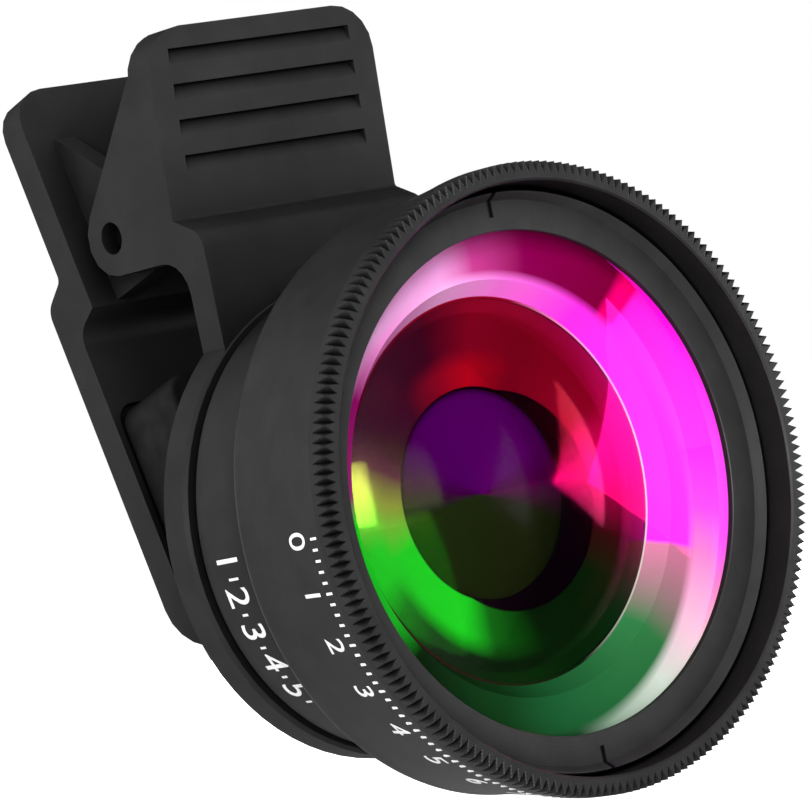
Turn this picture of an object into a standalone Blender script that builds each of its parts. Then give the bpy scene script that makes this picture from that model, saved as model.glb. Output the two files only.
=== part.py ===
"""Clip-on phone lens: a sprung clip, a macro lens screwed into it and a wide-angle lens screwed on that.

Frame: metres, +Z up. The origin is on the lens axis, on the face of the soft ring that meets the
phone. The lens looks along -Y, the thumb plates of the clip point up and X runs across the clip.
Distances along the lens axis are called depths here: a depth of s lies at y = -s.
"""
import math

import bmesh
import bpy
from mathutils import Matrix, Vector

MM = 0.001

# Fits
SEAT_GAP = 0.3 * MM            # between pieces that rest on each other
THREAD_GAP = 0.3 * MM          # radial, between a screwed-in neck and its bore
PIN_GAP = 0.12 * MM            # radial, between the hinge pin and its holes
SIDE_PLAY = 0.3 * MM           # between an inner ear and the outer ear beside it

# Wide-angle lens, from the front glass outwards
FRONT_GLASS_RADIUS = 17.15 * MM
FRONT_GLASS_EDGE = 1.6 * MM
FRONT_GLASS_CURVE = 46.6 * MM
FRONT_GLASS_HOLLOW = 20.0 * MM
GLASS_REAR_RIM = 5.15 * MM     # width of the flat ring round the glass's hollow
RING_OVERLAP = 1.52 * MM       # how far the retaining ring reaches in over the glass
RING_LEDGE = 0.85 * MM         # step from the glass's seat out to the wall of the rim
RIM_WALL = 1.2 * MM            # from the wall inside the rim to the tips of its teeth
FLARE = 0.85 * MM              # how much wider the rim is than the shoulder behind it
FLARE_POWER = 1.4              # the side curves outwards a little faster near the rim
SHOULDER_ROUND = 0.7 * MM
WIDE_LENGTH = 10.2 * MM        # from the shoulder's back face to the rim
RING_DEPTH = 2.6 * MM          # from the rim back to the retaining ring's flat face
RING_LIP = 0.45 * MM
RING_BEVEL = 0.65 * MM         # height of the bevel round the retaining ring
RING_BEVEL_WIDTH = 0.5 * MM
SLOT_WIDTH = 0.35 * MM
SLOT_LENGTH = 1.5 * MM
NOTCHES = 200
NOTCH_FACE = 0.75 * MM         # reach of a notch across the rim's front face
NOTCH_SIDE = 1.1 * MM          # reach of a notch along the rim's side
NOTCH_OPENING = 1.02           # share of the pitch that a notch takes up at the rim's corner
GASKET = 0.5 * MM
GASKET_WIDTH = 1.8 * MM
REAR_GLASS_RADIUS = 8.9 * MM
REAR_GLASS_RIM = 1.3 * MM      # width that the rings cover round the rear glasses
REAR_GROUP = 3.6 * MM          # from the tail's end to the front rim of the middle glass
MIDDLE_GLASS_EDGE = 1.2 * MM
MIDDLE_GLASS_CURVE = 30.0 * MM
MIDDLE_GLASS_HOLLOW = 45.0 * MM
REAR_GLASS_CURVE = 60.0 * MM
WIDE_SPACER_LENGTH = 0.5 * MM
REAR_RING_LENGTH = 0.5 * MM
BAFFLE_WALL = 1.0 * MM
TAIL_WALL = 1.8 * MM
TAIL_LENGTH = 3.2 * MM
THREAD_RELIEF = 0.4 * MM

# Macro lens
MACRO_WALL = 3.75 * MM         # round the socket for the wide-angle lens
MACRO_LENGTH = 7.9 * MM
NECK_RADIUS = 8.0 * MM
NECK_LENGTH = 2.6 * MM
NECK_WALL = 0.7 * MM
NECK_LIP = 1.7 * MM            # how far the neck's end reaches in to hold the rear glass
MACRO_LIP_LENGTH = 1.0 * MM
MACRO_GLASS_EDGE = 1.0 * MM
MACRO_GLASS_CURVE = 25.0 * MM
MACRO_GLASS_RIM = 0.7 * MM
MACRO_SPACER_LENGTH = 1.3 * MM

# Front jaw
PLATE = 2.2 * MM               # wall of both jaws
CLIP_WIDTH = 18.8 * MM
EAR = 1.9 * MM                 # wall of the front jaw's ears
DISC_LIP = 0.35 * MM           # how much wider the disc is than the macro barrel
DISC_BACK = 1.0 * MM           # depth of the disc's back face
DISC_PROUD = 0.1 * MM          # how far the disc stands proud of the arm, front and back
SEAT_RING_WIDTH = 4.1 * MM     # raised ring on the disc that the macro barrel seats on
SEAT_RING_HEIGHT = 0.25 * MM
HINGE_RISE = 5.3 * MM          # from the disc's edge up to the hinge
HINGE_BACK = 5.7 * MM          # from the phone's face back to the hinge
BOSS_RADIUS = 2.45 * MM        # round end of the front jaw's ears
EAR_FILLET = 2.3 * MM
STEP_DROP = 1.2 * MM           # height of the slanted step under the thumb pad
STEP_ROUND = 1.4 * MM
PAD_HEIGHT = 12.15 * MM
PAD_LEAN = 4.0                 # degrees that the thumb pad leans forward
PAD_SETBACK = 2.53 * MM        # from the arm's front face back to the foot of the thumb pad
CHANNEL_SINK = 0.15 * MM       # how far the channel between the ears cuts into the pad's back
PAD_CORNER = 3.0 * MM
EAR_DROP = 2.6 * MM            # from the pad's upper edge down to the ears' upper ends
EDGE_ROUND = 0.6 * MM
GROOVES = 4
GROOVE_PITCH = 2.26 * MM
GROOVE_HEIGHT = 1.05 * MM
GROOVE_MARGIN = 1.85 * MM      # from a groove's end to the pad's side
GROOVE_DEPTH = 0.55 * MM
FIRST_GROOVE = 1.9 * MM        # from the pad's upper edge to the middle of the first groove
PIN_RADIUS = 0.93 * MM
PIN_RECESS = 0.9 * MM          # how deep the pin's ends lie in their holes

# Rear jaw, in its own frame: the hinge at the origin, the arm straight down
REAR_TILT = 15.5               # degrees between the two arms with the clip closed
REAR_TOP = 12.6 * MM           # thumb plate's end above the hinge
TIP_DROP = 4.8 * MM            # how far the arm reaches past the lens axis
HANDLE_INSIDE = 4.4 * MM       # hinge axis to the thumb plate's inner face
INNER_EAR = 1.6 * MM           # wall of the rear jaw's ears
INNER_BOSS_RADIUS = 2.65 * MM  # round end of the rear jaw's ears
INNER_EAR_TOP = 10.2 * MM
JOGGLE_DROP = 0.9 * MM         # height of the step on the inside, below the ears
JOGGLE_ROUND = 1.5 * MM
OUTER_JOGGLE_DROP = 1.2 * MM   # height of the step on the outside, from the hinge down
REAR_CORNER = 2.6 * MM
TIP_CORNER = 3.0 * MM

# Pads
RING_PAD_WIDTH = 3.7 * MM
RING_PAD_MARGIN = 2.2 * MM     # from the disc's edge to the ring pad
PAD_RECESS = 0.6 * MM
REAR_PAD_MARGIN = 0.8 * MM     # from the arm's side to the rear pad
REAR_PAD_LENGTH = 15.0 * MM
REAR_PAD_INSET = 1.2 * MM      # from the arm's end to the rear pad
REAR_PAD_CORNER = 1.4 * MM
PAD_EDGE_ROUND = 0.4 * MM

# Spring
WIRE = 0.9 * MM
COIL_PLAY = 0.5 * MM           # between the pin and the coil round it
COIL_TURNS = 5.5
COIL_PITCH = 1.15 * MM
LEG = 8.0 * MM
COIL_STEPS = 12

# Fineness of the turned pieces
FINE = 72
MEDIUM = 48
COARSE = 32
ARC_STEPS = 5
FLARE_STEPS = 3
SHOULDER_STEPS = 2
GLASS_STEPS = 4                # points of a glass surface between its axis and its rim
BEVEL_STEPS = 3
PIN_SIDES = 24
WELD = 0.002 * MM
EASE = 0.25 * MM               # small chamfers

# Radii that follow from the sizes
VIEW_RADIUS = FRONT_GLASS_RADIUS - RING_OVERLAP
HOLLOW_RADIUS = FRONT_GLASS_RADIUS - GLASS_REAR_RIM
GLASS_SEAT = FRONT_GLASS_RADIUS + SEAT_GAP
RIM_BORE = GLASS_SEAT + RING_LEDGE
RIM_RADIUS = RIM_BORE + RIM_WALL
SHOULDER_RADIUS = RIM_RADIUS - FLARE
BAFFLE_RADIUS = HOLLOW_RADIUS + REAR_GLASS_RIM
REAR_BORE = REAR_GLASS_RADIUS + SEAT_GAP
REAR_CLEAR = REAR_GLASS_RADIUS - REAR_GLASS_RIM
TAIL_RADIUS = REAR_BORE + TAIL_WALL
SOCKET_RADIUS = TAIL_RADIUS + THREAD_GAP
MACRO_RADIUS = SOCKET_RADIUS + MACRO_WALL
MACRO_BORE = NECK_RADIUS - NECK_WALL
NECK_BORE = NECK_RADIUS + THREAD_GAP
DISC_RADIUS = MACRO_RADIUS + DISC_LIP
RING_PAD_OUTER = DISC_RADIUS - RING_PAD_MARGIN
RING_PAD_INNER = RING_PAD_OUTER - RING_PAD_WIDTH
COIL_RADIUS = PIN_RADIUS + COIL_PLAY + WIRE / 2

# Depths that follow from the sizes
ARM_BACK = DISC_BACK + DISC_PROUD
ARM_FRONT = ARM_BACK + PLATE
DISC_FRONT = ARM_FRONT + DISC_PROUD
MACRO_BACK = DISC_FRONT + SEAT_RING_HEIGHT + SEAT_GAP
MACRO_FRONT = MACRO_BACK + MACRO_LENGTH
NECK_END = MACRO_BACK - NECK_LENGTH
SHOULDER = MACRO_FRONT + SEAT_GAP
RIM = SHOULDER + WIDE_LENGTH
TAIL_END = SHOULDER - TAIL_LENGTH
SOCKET_FLOOR = TAIL_END - SEAT_GAP

# Heights and widths that follow from the sizes
HINGE = Vector((0, HINGE_BACK, DISC_RADIUS + HINGE_RISE))
PAD_FOOT = HINGE.z
PAD_TOP = PAD_FOOT + PAD_HEIGHT
PAD_FOOT_DEPTH = ARM_FRONT - PAD_SETBACK
REAR_TIP = HINGE.z + TIP_DROP
HALF_WIDTH = CLIP_WIDTH / 2
CHANNEL_HALF = HALF_WIDTH - EAR


def clear_scene():
    for old in list(bpy.data.objects):
        bpy.data.objects.remove(old, do_unlink=True)
    for old in list(bpy.data.collections):
        bpy.data.collections.remove(old)


clear_scene()
PARTS = bpy.data.collections.new("clip_on_phone_lens")
CUTTERS = bpy.data.collections.new("cutters")
bpy.context.scene.collection.children.link(PARTS)
bpy.context.scene.collection.children.link(CUTTERS)


def finish(name, color, roughness, metallic=0.0, transmission=0.0):
    """Make the material of one piece."""
    material = bpy.data.materials.new(name)
    material.use_nodes = True
    shader = material.node_tree.nodes["Principled BSDF"]
    shader.inputs["Base Color"].default_value = (*color, 1)
    shader.inputs["Roughness"].default_value = roughness
    shader.inputs["Metallic"].default_value = metallic
    shader.inputs["Transmission Weight"].default_value = transmission
    material.diffuse_color = (*color, 1)
    return material


def moulded(name):
    return finish(name, (0.028, 0.028, 0.029), 0.55)


def anodised(name):
    return finish(name, (0.03, 0.03, 0.032), 0.42, metallic=0.6)


def rubber(name):
    return finish(name, (0.02, 0.02, 0.02), 0.85)


def steel(name):
    return finish(name, (0.35, 0.35, 0.36), 0.3, metallic=1.0)


def glass(name, tint=(0.85, 0.9, 0.88)):
    return finish(name, tint, 0.02, transmission=1.0)


def add(name, mesh, collection=PARTS):
    """Put a mesh in the scene as an object."""
    obj = bpy.data.objects.new(name, mesh)
    collection.objects.link(obj)
    if collection is CUTTERS:
        obj.hide_render = True
        obj.display_type = "WIRE"
    return obj


def dress(obj, material):
    """Give a piece its material and smooth shading with sharp edges."""
    obj.data.materials.clear()
    obj.data.materials.append(material)
    obj.data.shade_smooth()
    obj.data.set_sharp_from_angle(angle=math.radians(35))


def ride(obj, carrier):
    """Parent a piece to the empty that carries it, without moving it."""
    obj.parent = carrier
    obj.matrix_parent_inverse = carrier.matrix_world.inverted()


def pivot(name, location, tilt=0.0):
    """Make the empty on a joint's axis."""
    empty = bpy.data.objects.new(name, None)
    empty.location = location
    empty.rotation_euler = (tilt, 0, 0)
    empty.empty_display_size = 5 * MM
    PARTS.objects.link(empty)
    bpy.context.view_layer.update()
    return empty


# Outlines

# Whole numbers keep flush faces of two shapes exactly in one plane
SIDE_VIEW = Matrix(((0, 0, 1, 0), (1, 0, 0, 0), (0, 1, 0, 0), (0, 0, 0, 1)))    # drawn in Y and Z
FRONT_VIEW = Matrix(((1, 0, 0, 0), (0, 0, -1, 0), (0, 1, 0, 0), (0, 0, 0, 1)))  # drawn in X and Z


def rounded(corners):
    """Turn corners, given as (u, v) or (u, v, radius), into an outline with arcs at the corners."""
    outline = []
    count = len(corners)
    for index, corner in enumerate(corners):
        here = Vector(corner[:2])
        radius = corner[2] if len(corner) > 2 else 0
        if radius == 0:
            outline.append(here)
            continue
        before = (Vector(corners[index - 1][:2]) - here).normalized()
        after = (Vector(corners[(index + 1) % count][:2]) - here).normalized()
        half = before.angle(after) / 2
        centre = here + (before + after).normalized() * (radius / math.sin(half))
        start = here + before * (radius / math.tan(half)) - centre
        turn = -start.angle_signed(here + after * (radius / math.tan(half)) - centre)
        for step in range(ARC_STEPS + 1):
            outline.append(centre + Matrix.Rotation(turn * step / ARC_STEPS, 2) @ start)
    return outline


def tangent_corner(start, centre, radius, floor, side):
    """Where a line from start that brushes a circle meets the level floor under the circle."""
    to_centre = Vector(centre) - Vector(start)
    swing = side * math.asin(radius / to_centre.length)
    direction = Matrix.Rotation(swing, 2) @ to_centre
    reach = (floor - start[1]) / direction.y
    return (start[0] + direction.x * reach, floor, radius)


def flat_solid(name, corners, thickness, turn, location=(0, 0, 0), collection=PARTS):
    """Extrude an outline through the given thickness and turn it into a mesh."""
    curve = bpy.data.curves.new(name, "CURVE")
    curve.dimensions = "2D"
    curve.fill_mode = "BOTH"
    curve.extrude = thickness / 2
    outline = rounded(corners)
    spline = curve.splines.new("POLY")
    spline.points.add(len(outline) - 1)
    for point, place in zip(spline.points, outline):
        point.co = (place.x, place.y, 0, 1)
    spline.use_cyclic_u = True
    return curve_to_mesh(bpy.data.objects.new(name, curve), Matrix.Translation(location) @ turn, collection)


def tidy(mesh):
    """Weld a mesh's doubles and make one face of each flat area."""
    grid = bmesh.new()
    grid.from_mesh(mesh)
    bmesh.ops.remove_doubles(grid, verts=grid.verts, dist=WELD)
    bmesh.ops.dissolve_degenerate(grid, dist=WELD / 2, edges=grid.edges)
    bmesh.ops.dissolve_limit(grid, angle_limit=math.radians(0.1), verts=grid.verts, edges=grid.edges)
    grid.to_mesh(mesh)
    grid.free()


def curve_to_mesh(drawn, place=Matrix(), collection=PARTS):
    """Replace a curve object by a mesh object of the same name with welded caps, set in its place."""
    name = drawn.name
    bpy.context.scene.collection.objects.link(drawn)
    bpy.context.view_layer.update()
    evaluated = drawn.evaluated_get(bpy.context.evaluated_depsgraph_get())
    mesh = bpy.data.meshes.new_from_object(evaluated)
    mesh.transform(place)
    mesh.materials.clear()
    bpy.data.objects.remove(drawn, do_unlink=True)
    grid = bmesh.new()
    grid.from_mesh(mesh)
    bmesh.ops.remove_doubles(grid, verts=grid.verts, dist=WELD)
    bmesh.ops.recalc_face_normals(grid, faces=grid.faces)
    grid.to_mesh(mesh)
    grid.free()
    tidy(mesh)
    mesh.name = name
    return add(name, mesh, collection)


def combine(obj, other, operation):
    """Apply a Boolean with another object, which is then removed or kept as a cutter."""
    modifier = obj.modifiers.new(operation.lower(), "BOOLEAN")
    modifier.operation = operation
    modifier.solver = "EXACT"
    modifier.object = other
    bpy.context.view_layer.update()
    evaluated = obj.evaluated_get(bpy.context.evaluated_depsgraph_get())
    mesh = bpy.data.meshes.new_from_object(evaluated)
    tidy(mesh)
    obj.modifiers.clear()
    obj.data = mesh
    if other.name in PARTS.objects:
        bpy.data.objects.remove(other, do_unlink=True)


def round_rim(obj, facing, width):
    """Round the edges where the faces that look one way meet the sides."""
    same_way = 0.95
    sideways = 0.3
    grid = bmesh.new()
    grid.from_mesh(obj.data)
    grid.normal_update()
    rim = []
    for edge in grid.edges:
        if len(edge.link_faces) != 2:
            continue
        looks = [face.normal.dot(facing) for face in edge.link_faces]
        if max(looks) > same_way and abs(min(looks)) < sideways:
            rim.append(edge)
    bmesh.ops.bevel(grid, geom=rim, offset=width, segments=BEVEL_STEPS, affect="EDGES", profile=0.5,
                    clamp_overlap=True)
    bmesh.ops.remove_doubles(grid, verts=grid.verts, dist=WELD)
    grid.to_mesh(obj.data)
    grid.free()


def cylinder(name, radius, length, location, sides, collection=CUTTERS):
    """Make a closed cylinder across the clip, as a mesh in its place."""
    grid = bmesh.new()
    place = Matrix.Translation(location) @ Matrix.Rotation(math.pi / 2, 4, "Y")
    bmesh.ops.create_cone(grid, cap_ends=True, segments=sides, radius1=radius, radius2=radius,
                          depth=length, matrix=place)
    mesh = bpy.data.meshes.new(name)
    grid.to_mesh(mesh)
    grid.free()
    return add(name, mesh, collection)


def turned(name, profile, steps, collection=PARTS):
    """Turn a profile of (radius, depth) points about the lens axis; its outer side runs backwards."""
    mesh = bpy.data.meshes.new(name)
    edges = [(index, index + 1) for index in range(len(profile) - 1)]
    if profile[0][0] > 0:
        edges.append((len(profile) - 1, 0))
    mesh.from_pydata([(radius, 0, depth) for radius, depth in profile], edges, [])
    obj = add(name, mesh, collection)
    screw = obj.modifiers.new("turn", "SCREW")
    screw.axis = "Z"
    screw.steps = steps
    screw.render_steps = steps
    screw.use_merge_vertices = True
    screw.merge_threshold = WELD
    bpy.context.view_layer.update()
    evaluated = obj.evaluated_get(bpy.context.evaluated_depsgraph_get())
    solid = bpy.data.meshes.new_from_object(evaluated)
    solid.transform(FRONT_VIEW)
    obj.modifiers.clear()
    obj.data = solid
    return obj


def sag(curve, radius):
    """How far a sphere of radius curve falls away at a distance from its axis."""
    return curve - math.sqrt(curve * curve - radius * radius)


def surface(curve, radius, vertex, steps=GLASS_STEPS):
    """Points of a glass surface from the axis outwards; a positive curve bulges forward."""
    points = []
    for step in range(steps + 1):
        out = radius * step / steps
        points.append((out, vertex - math.copysign(sag(abs(curve), out), curve)))
    return points


# Clip

def pad_face(height):
    """Depth of the thumb pad's face at a height."""
    return PAD_FOOT_DEPTH + (height - PAD_FOOT) * math.tan(math.radians(PAD_LEAN))


def channel_floor(height):
    """Depth of the channel's floor behind the pad, between the ears, at a height."""
    return pad_face(max(height, PAD_FOOT)) - (PLATE - CHANNEL_SINK) / math.cos(math.radians(PAD_LEAN))


def front_jaw():
    """The thumb pad, ears, step, arm and disc of the front jaw, moulded in one piece."""
    behind = PLATE / math.cos(math.radians(PAD_LEAN))
    ear_floor = HINGE.z - BOSS_RADIUS
    ear_top = PAD_TOP - EAR_DROP
    ear_start = (-pad_face(ear_top) + behind, ear_top)
    ear_corner = tangent_corner(ear_start, HINGE.yz, BOSS_RADIUS, ear_floor, 1)
    arm_foot = RING_PAD_OUTER - RING_PAD_WIDTH
    side = [
        (-ARM_FRONT, arm_foot),
        (-ARM_BACK, arm_foot),
        (-ARM_BACK, ear_floor, EAR_FILLET),
        ear_corner,
        ear_start,
        (-pad_face(PAD_TOP) + behind, PAD_TOP),
        (-pad_face(PAD_TOP), PAD_TOP),
        (-PAD_FOOT_DEPTH, PAD_FOOT, EASE),
        (-ARM_FRONT, PAD_FOOT - STEP_DROP, STEP_ROUND),
    ]
    jaw = flat_solid("front_jaw", side, CLIP_WIDTH, SIDE_VIEW)
    corner_cut(jaw, PAD_TOP, PAD_CORNER)
    round_rim(jaw, Vector((0, -1, 0)), EDGE_ROUND)
    beyond = HINGE.y + 3 * BOSS_RADIUS
    above = PAD_TOP + PLATE
    below = ear_floor - BOSS_RADIUS
    channel = [
        (-channel_floor(below), below),
        (beyond, below),
        (beyond, above),
        (-channel_floor(above), above),
        (-channel_floor(PAD_FOOT), PAD_FOOT),
    ]
    combine(jaw, flat_solid("ear_channel", channel, 2 * CHANNEL_HALF, SIDE_VIEW, collection=CUTTERS),
            "DIFFERENCE")
    disc = turned("disc", disc_profile(), FINE)
    combine(jaw, disc, "UNION")
    recess = turned("ring_recess", ring_section(RING_PAD_INNER - SEAT_GAP, RING_PAD_OUTER + SEAT_GAP,
                                                DISC_BACK + PAD_RECESS, DISC_BACK / 2), FINE, CUTTERS)
    combine(jaw, recess, "DIFFERENCE")
    for index in range(GROOVES):
        height = PAD_TOP - FIRST_GROOVE - index * GROOVE_PITCH
        combine(jaw, groove(index, height), "DIFFERENCE")
    hole = cylinder("pin_hole", PIN_RADIUS + PIN_GAP, 2 * CLIP_WIDTH, HINGE, PIN_SIDES)
    combine(jaw, hole, "DIFFERENCE")
    return jaw


def corner_cut(obj, top, radius, sign=1):
    """Round the two corners of a plate's end, seen from the front; sign is -1 for a lower end."""
    for side in (-1, 1):
        edge = side * HALF_WIDTH
        outside = edge + side * radius
        beyond = top + sign * radius
        centre = Vector((edge - side * radius, top - sign * radius))
        corner = [
            (edge, centre.y),
            (outside, centre.y),
            (outside, beyond),
            (centre.x, beyond),
            (centre.x, top),
        ]
        for step in range(1, ARC_STEPS):
            angle = math.pi / 2 * (1 - step / ARC_STEPS)
            corner.append((centre.x + side * radius * math.cos(angle),
                           centre.y + sign * radius * math.sin(angle)))
        cutter = flat_solid("corner_cutter", corner, 2 * CLIP_WIDTH, FRONT_VIEW, collection=CUTTERS)
        combine(obj, cutter, "DIFFERENCE")


def disc_profile():
    """Section of the disc with its raised seat ring and its threaded bore."""
    seat_radius = NECK_BORE + SEAT_RING_WIDTH
    return [
        (NECK_BORE, DISC_FRONT + SEAT_RING_HEIGHT),
        (seat_radius, DISC_FRONT + SEAT_RING_HEIGHT),
        (seat_radius, DISC_FRONT),
        (DISC_RADIUS - EASE, DISC_FRONT),
        (DISC_RADIUS, DISC_FRONT - EASE),
        (DISC_RADIUS, DISC_BACK + EASE),
        (DISC_RADIUS - EASE, DISC_BACK),
        (NECK_BORE, DISC_BACK),
    ]


def ring_section(inner, outer, front, back):
    """Rectangular section of a plain ring."""
    return [(inner, front), (outer, front), (outer, back), (inner, back)]


def groove(index, height):
    """One flat-bottomed groove of the thumb pad."""
    depth = pad_face(height)
    grid = bmesh.new()
    lean = Matrix.Rotation(math.radians(PAD_LEAN), 4, "X")
    size = Matrix.Diagonal((CLIP_WIDTH - 2 * GROOVE_MARGIN, 2 * GROOVE_DEPTH, GROOVE_HEIGHT, 1))
    place = Matrix.Translation((0, -depth, height))
    bmesh.ops.create_cube(grid, size=1, matrix=place @ lean @ size)
    mesh = bpy.data.meshes.new("groove")
    grid.to_mesh(mesh)
    grid.free()
    return add(f"groove_{index + 1}", mesh, CUTTERS)


def rear_jaw(carrier):
    """The rear thumb plate, joggle, arm and inner ears, modelled upright and tilted by its carrier."""
    handle_outside = HANDLE_INSIDE + PLATE
    arm_inside = handle_outside
    arm_outside = arm_inside + PLATE
    joggle_top = -INNER_BOSS_RADIUS - EASE
    side = [
        (HANDLE_INSIDE, REAR_TOP),
        (HANDLE_INSIDE, joggle_top),
        (arm_inside, joggle_top - JOGGLE_DROP, JOGGLE_ROUND),
        (arm_inside, -REAR_TIP),
        (arm_outside, -REAR_TIP),
        (arm_outside, -OUTER_JOGGLE_DROP, OUTER_JOGGLE_DROP),
        (handle_outside, 0, OUTER_JOGGLE_DROP / 2),
        (handle_outside, REAR_TOP),
    ]
    jaw = flat_solid("rear_jaw", side, CLIP_WIDTH, SIDE_VIEW)
    corner_cut(jaw, REAR_TOP, REAR_CORNER)
    corner_cut(jaw, -REAR_TIP, TIP_CORNER, sign=-1)
    tilt = math.radians(REAR_TILT)
    root = HANDLE_INSIDE + PLATE / 2
    ear_start = (root, INNER_EAR_TOP)
    ear = [
        ear_start,
        tangent_corner(ear_start, (0, 0), INNER_BOSS_RADIUS, -INNER_BOSS_RADIUS, -1),
        (root, -INNER_BOSS_RADIUS),
    ]
    middle = CHANNEL_HALF - SIDE_PLAY - INNER_EAR / 2
    for side_sign in (-1, 1):
        wall = flat_solid("inner_ear", ear, INNER_EAR, SIDE_VIEW, location=(side_sign * middle, 0, 0))
        combine(jaw, wall, "UNION")
    hole = cylinder("inner_pin_hole", PIN_RADIUS + PIN_GAP, CLIP_WIDTH, (0, 0, 0), PIN_SIDES)
    combine(jaw, hole, "DIFFERENCE")
    pad_end = REAR_TIP - REAR_PAD_INSET
    pad_middle = -pad_end + REAR_PAD_LENGTH / 2
    pad_width = CLIP_WIDTH - 2 * REAR_PAD_MARGIN
    recess = slab("rear_pad_recess", pad_width + 2 * SEAT_GAP, 2 * PAD_RECESS,
                  REAR_PAD_LENGTH + 2 * SEAT_GAP, (0, arm_inside, pad_middle), REAR_PAD_CORNER, CUTTERS)
    combine(jaw, recess, "DIFFERENCE")
    # the pad is thick enough to meet the ring pad when the clip is closed
    pad_floor = arm_inside + PAD_RECESS - SEAT_GAP
    pad_front = (SEAT_GAP - HINGE.y + pad_end * math.sin(tilt)) / math.cos(tilt)
    thick = pad_floor - pad_front
    pad = slab("rear_pad", pad_width, thick, REAR_PAD_LENGTH,
               (0, pad_floor - thick / 2, pad_middle), REAR_PAD_CORNER, PARTS)
    round_rim(pad, Vector((0, -1, 0)), PAD_EDGE_ROUND)
    for piece in (jaw, pad):
        piece.parent = carrier
    return jaw, pad


def slab(name, width, thickness, height, centre, radius, collection):
    """A flat block with rounded corners seen from the front."""
    corners = []
    for across, up in ((-1, -1), (1, -1), (1, 1), (-1, 1)):
        corners.append((across * width / 2, centre[2] + up * height / 2, radius))
    return flat_solid(name, corners, thickness, FRONT_VIEW, (0, centre[1], 0), collection)


def front_pad():
    """The soft ring in the back of the disc; its rear face is the origin's plane."""
    front = DISC_BACK + PAD_RECESS - SEAT_GAP
    profile = [
        (RING_PAD_INNER, front),
        (RING_PAD_OUTER, front),
        (RING_PAD_OUTER, PAD_EDGE_ROUND),
        (RING_PAD_OUTER - PAD_EDGE_ROUND, 0),
        (RING_PAD_INNER + PAD_EDGE_ROUND, 0),
        (RING_PAD_INNER, PAD_EDGE_ROUND),
    ]
    return turned("front_pad", profile, MEDIUM)


def hinge_pin():
    """The steel pin through the four ears."""
    return cylinder("hinge_pin", PIN_RADIUS, CLIP_WIDTH - 2 * PIN_RECESS, HINGE, PIN_SIDES, PARTS)


def torsion_spring():
    """The coil round the pin, with one leg behind each thumb plate."""
    tilt = math.radians(REAR_TILT)
    length = COIL_TURNS * COIL_PITCH
    count = int(COIL_TURNS * COIL_STEPS)
    leg_gap = SEAT_GAP + WIRE / 2
    lean = math.radians(PAD_LEAN)
    shares = (1 / 3, 2 / 3, 1)
    points = []
    for share in reversed(shares):
        height = HINGE.z + share * LEG
        points.append(Vector((-length / 2, leg_gap / math.cos(lean) - channel_floor(height), height)))
    start = math.pi
    sweep = 2 * math.pi * COIL_TURNS - tilt
    for step in range(count + 1):
        angle = start + sweep * step / count
        x = -length / 2 + length * step / count
        points.append(HINGE + Vector((x, COIL_RADIUS * math.cos(angle), COIL_RADIUS * math.sin(angle))))
    for share in shares:
        offset = Vector((0, HANDLE_INSIDE - leg_gap, share * LEG))
        place = HINGE + Matrix.Rotation(-tilt, 3, "X") @ offset
        points.append(Vector((length / 2, place.y, place.z)))
    curve = bpy.data.curves.new("torsion_spring", "CURVE")
    curve.dimensions = "3D"
    curve.bevel_depth = WIRE / 2
    curve.bevel_resolution = 2
    curve.use_fill_caps = True
    spline = curve.splines.new("POLY")
    spline.points.add(len(points) - 1)
    for point, place in zip(spline.points, points):
        point.co = (*place, 1)
    return curve_to_mesh(bpy.data.objects.new("torsion_spring", curve))


# Macro lens

def macro_lens():
    """The barrel next to the clip and the glasses in it."""
    lip_front = NECK_END + MACRO_LIP_LENGTH
    lip_radius = MACRO_BORE - NECK_LIP
    barrel = turned("macro_barrel", [
        (SOCKET_RADIUS + EASE, MACRO_FRONT),
        (MACRO_RADIUS - EASE, MACRO_FRONT),
        (MACRO_RADIUS, MACRO_FRONT - EASE),
        (MACRO_RADIUS, MACRO_BACK + EASE),
        (MACRO_RADIUS - EASE, MACRO_BACK),
        (NECK_RADIUS, MACRO_BACK),
        (NECK_RADIUS, NECK_END + EASE),
        (NECK_RADIUS - EASE, NECK_END),
        (lip_radius, NECK_END),
        (lip_radius, lip_front),
        (MACRO_BORE, lip_front),
        (MACRO_BORE, SOCKET_FLOOR),
        (SOCKET_RADIUS, SOCKET_FLOOR),
        (SOCKET_RADIUS, MACRO_FRONT - EASE),
    ], FINE)
    glass_radius = MACRO_BORE - SEAT_GAP
    clear = glass_radius - MACRO_GLASS_RIM
    back = lip_front + SEAT_GAP
    rear_top = back + MACRO_GLASS_EDGE
    rear = plano_convex("macro_rear_element", glass_radius, clear, back, rear_top)
    spacer_back = rear_top + SEAT_GAP
    spacer_front = spacer_back + MACRO_SPACER_LENGTH
    spacer = turned("macro_spacer", ring_section(clear, glass_radius, spacer_front, spacer_back), COARSE)
    front_back = spacer_front + SEAT_GAP
    front_top = front_back + MACRO_GLASS_EDGE
    front = plano_convex("macro_front_element", glass_radius, clear, front_back, front_top)
    ring_front = SOCKET_FLOOR - SEAT_GAP
    ring = turned("macro_retaining_ring", [
        (clear + EASE, ring_front),
        (glass_radius, ring_front),
        (glass_radius, front_top + SEAT_GAP),
        (clear, front_top + SEAT_GAP),
        (clear, ring_front - EASE),
    ], COARSE)
    return barrel, rear, spacer, front, ring


def plano_convex(name, radius, clear, back, edge_front):
    """A glass with a flat back and a bulging front inside its flat rim."""
    vertex = edge_front + sag(MACRO_GLASS_CURVE, clear)
    profile = surface(MACRO_GLASS_CURVE, clear, vertex)
    profile += [(radius, edge_front), (radius, back), (0, back)]
    return turned(name, profile, COARSE)


# Wide-angle lens

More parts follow.
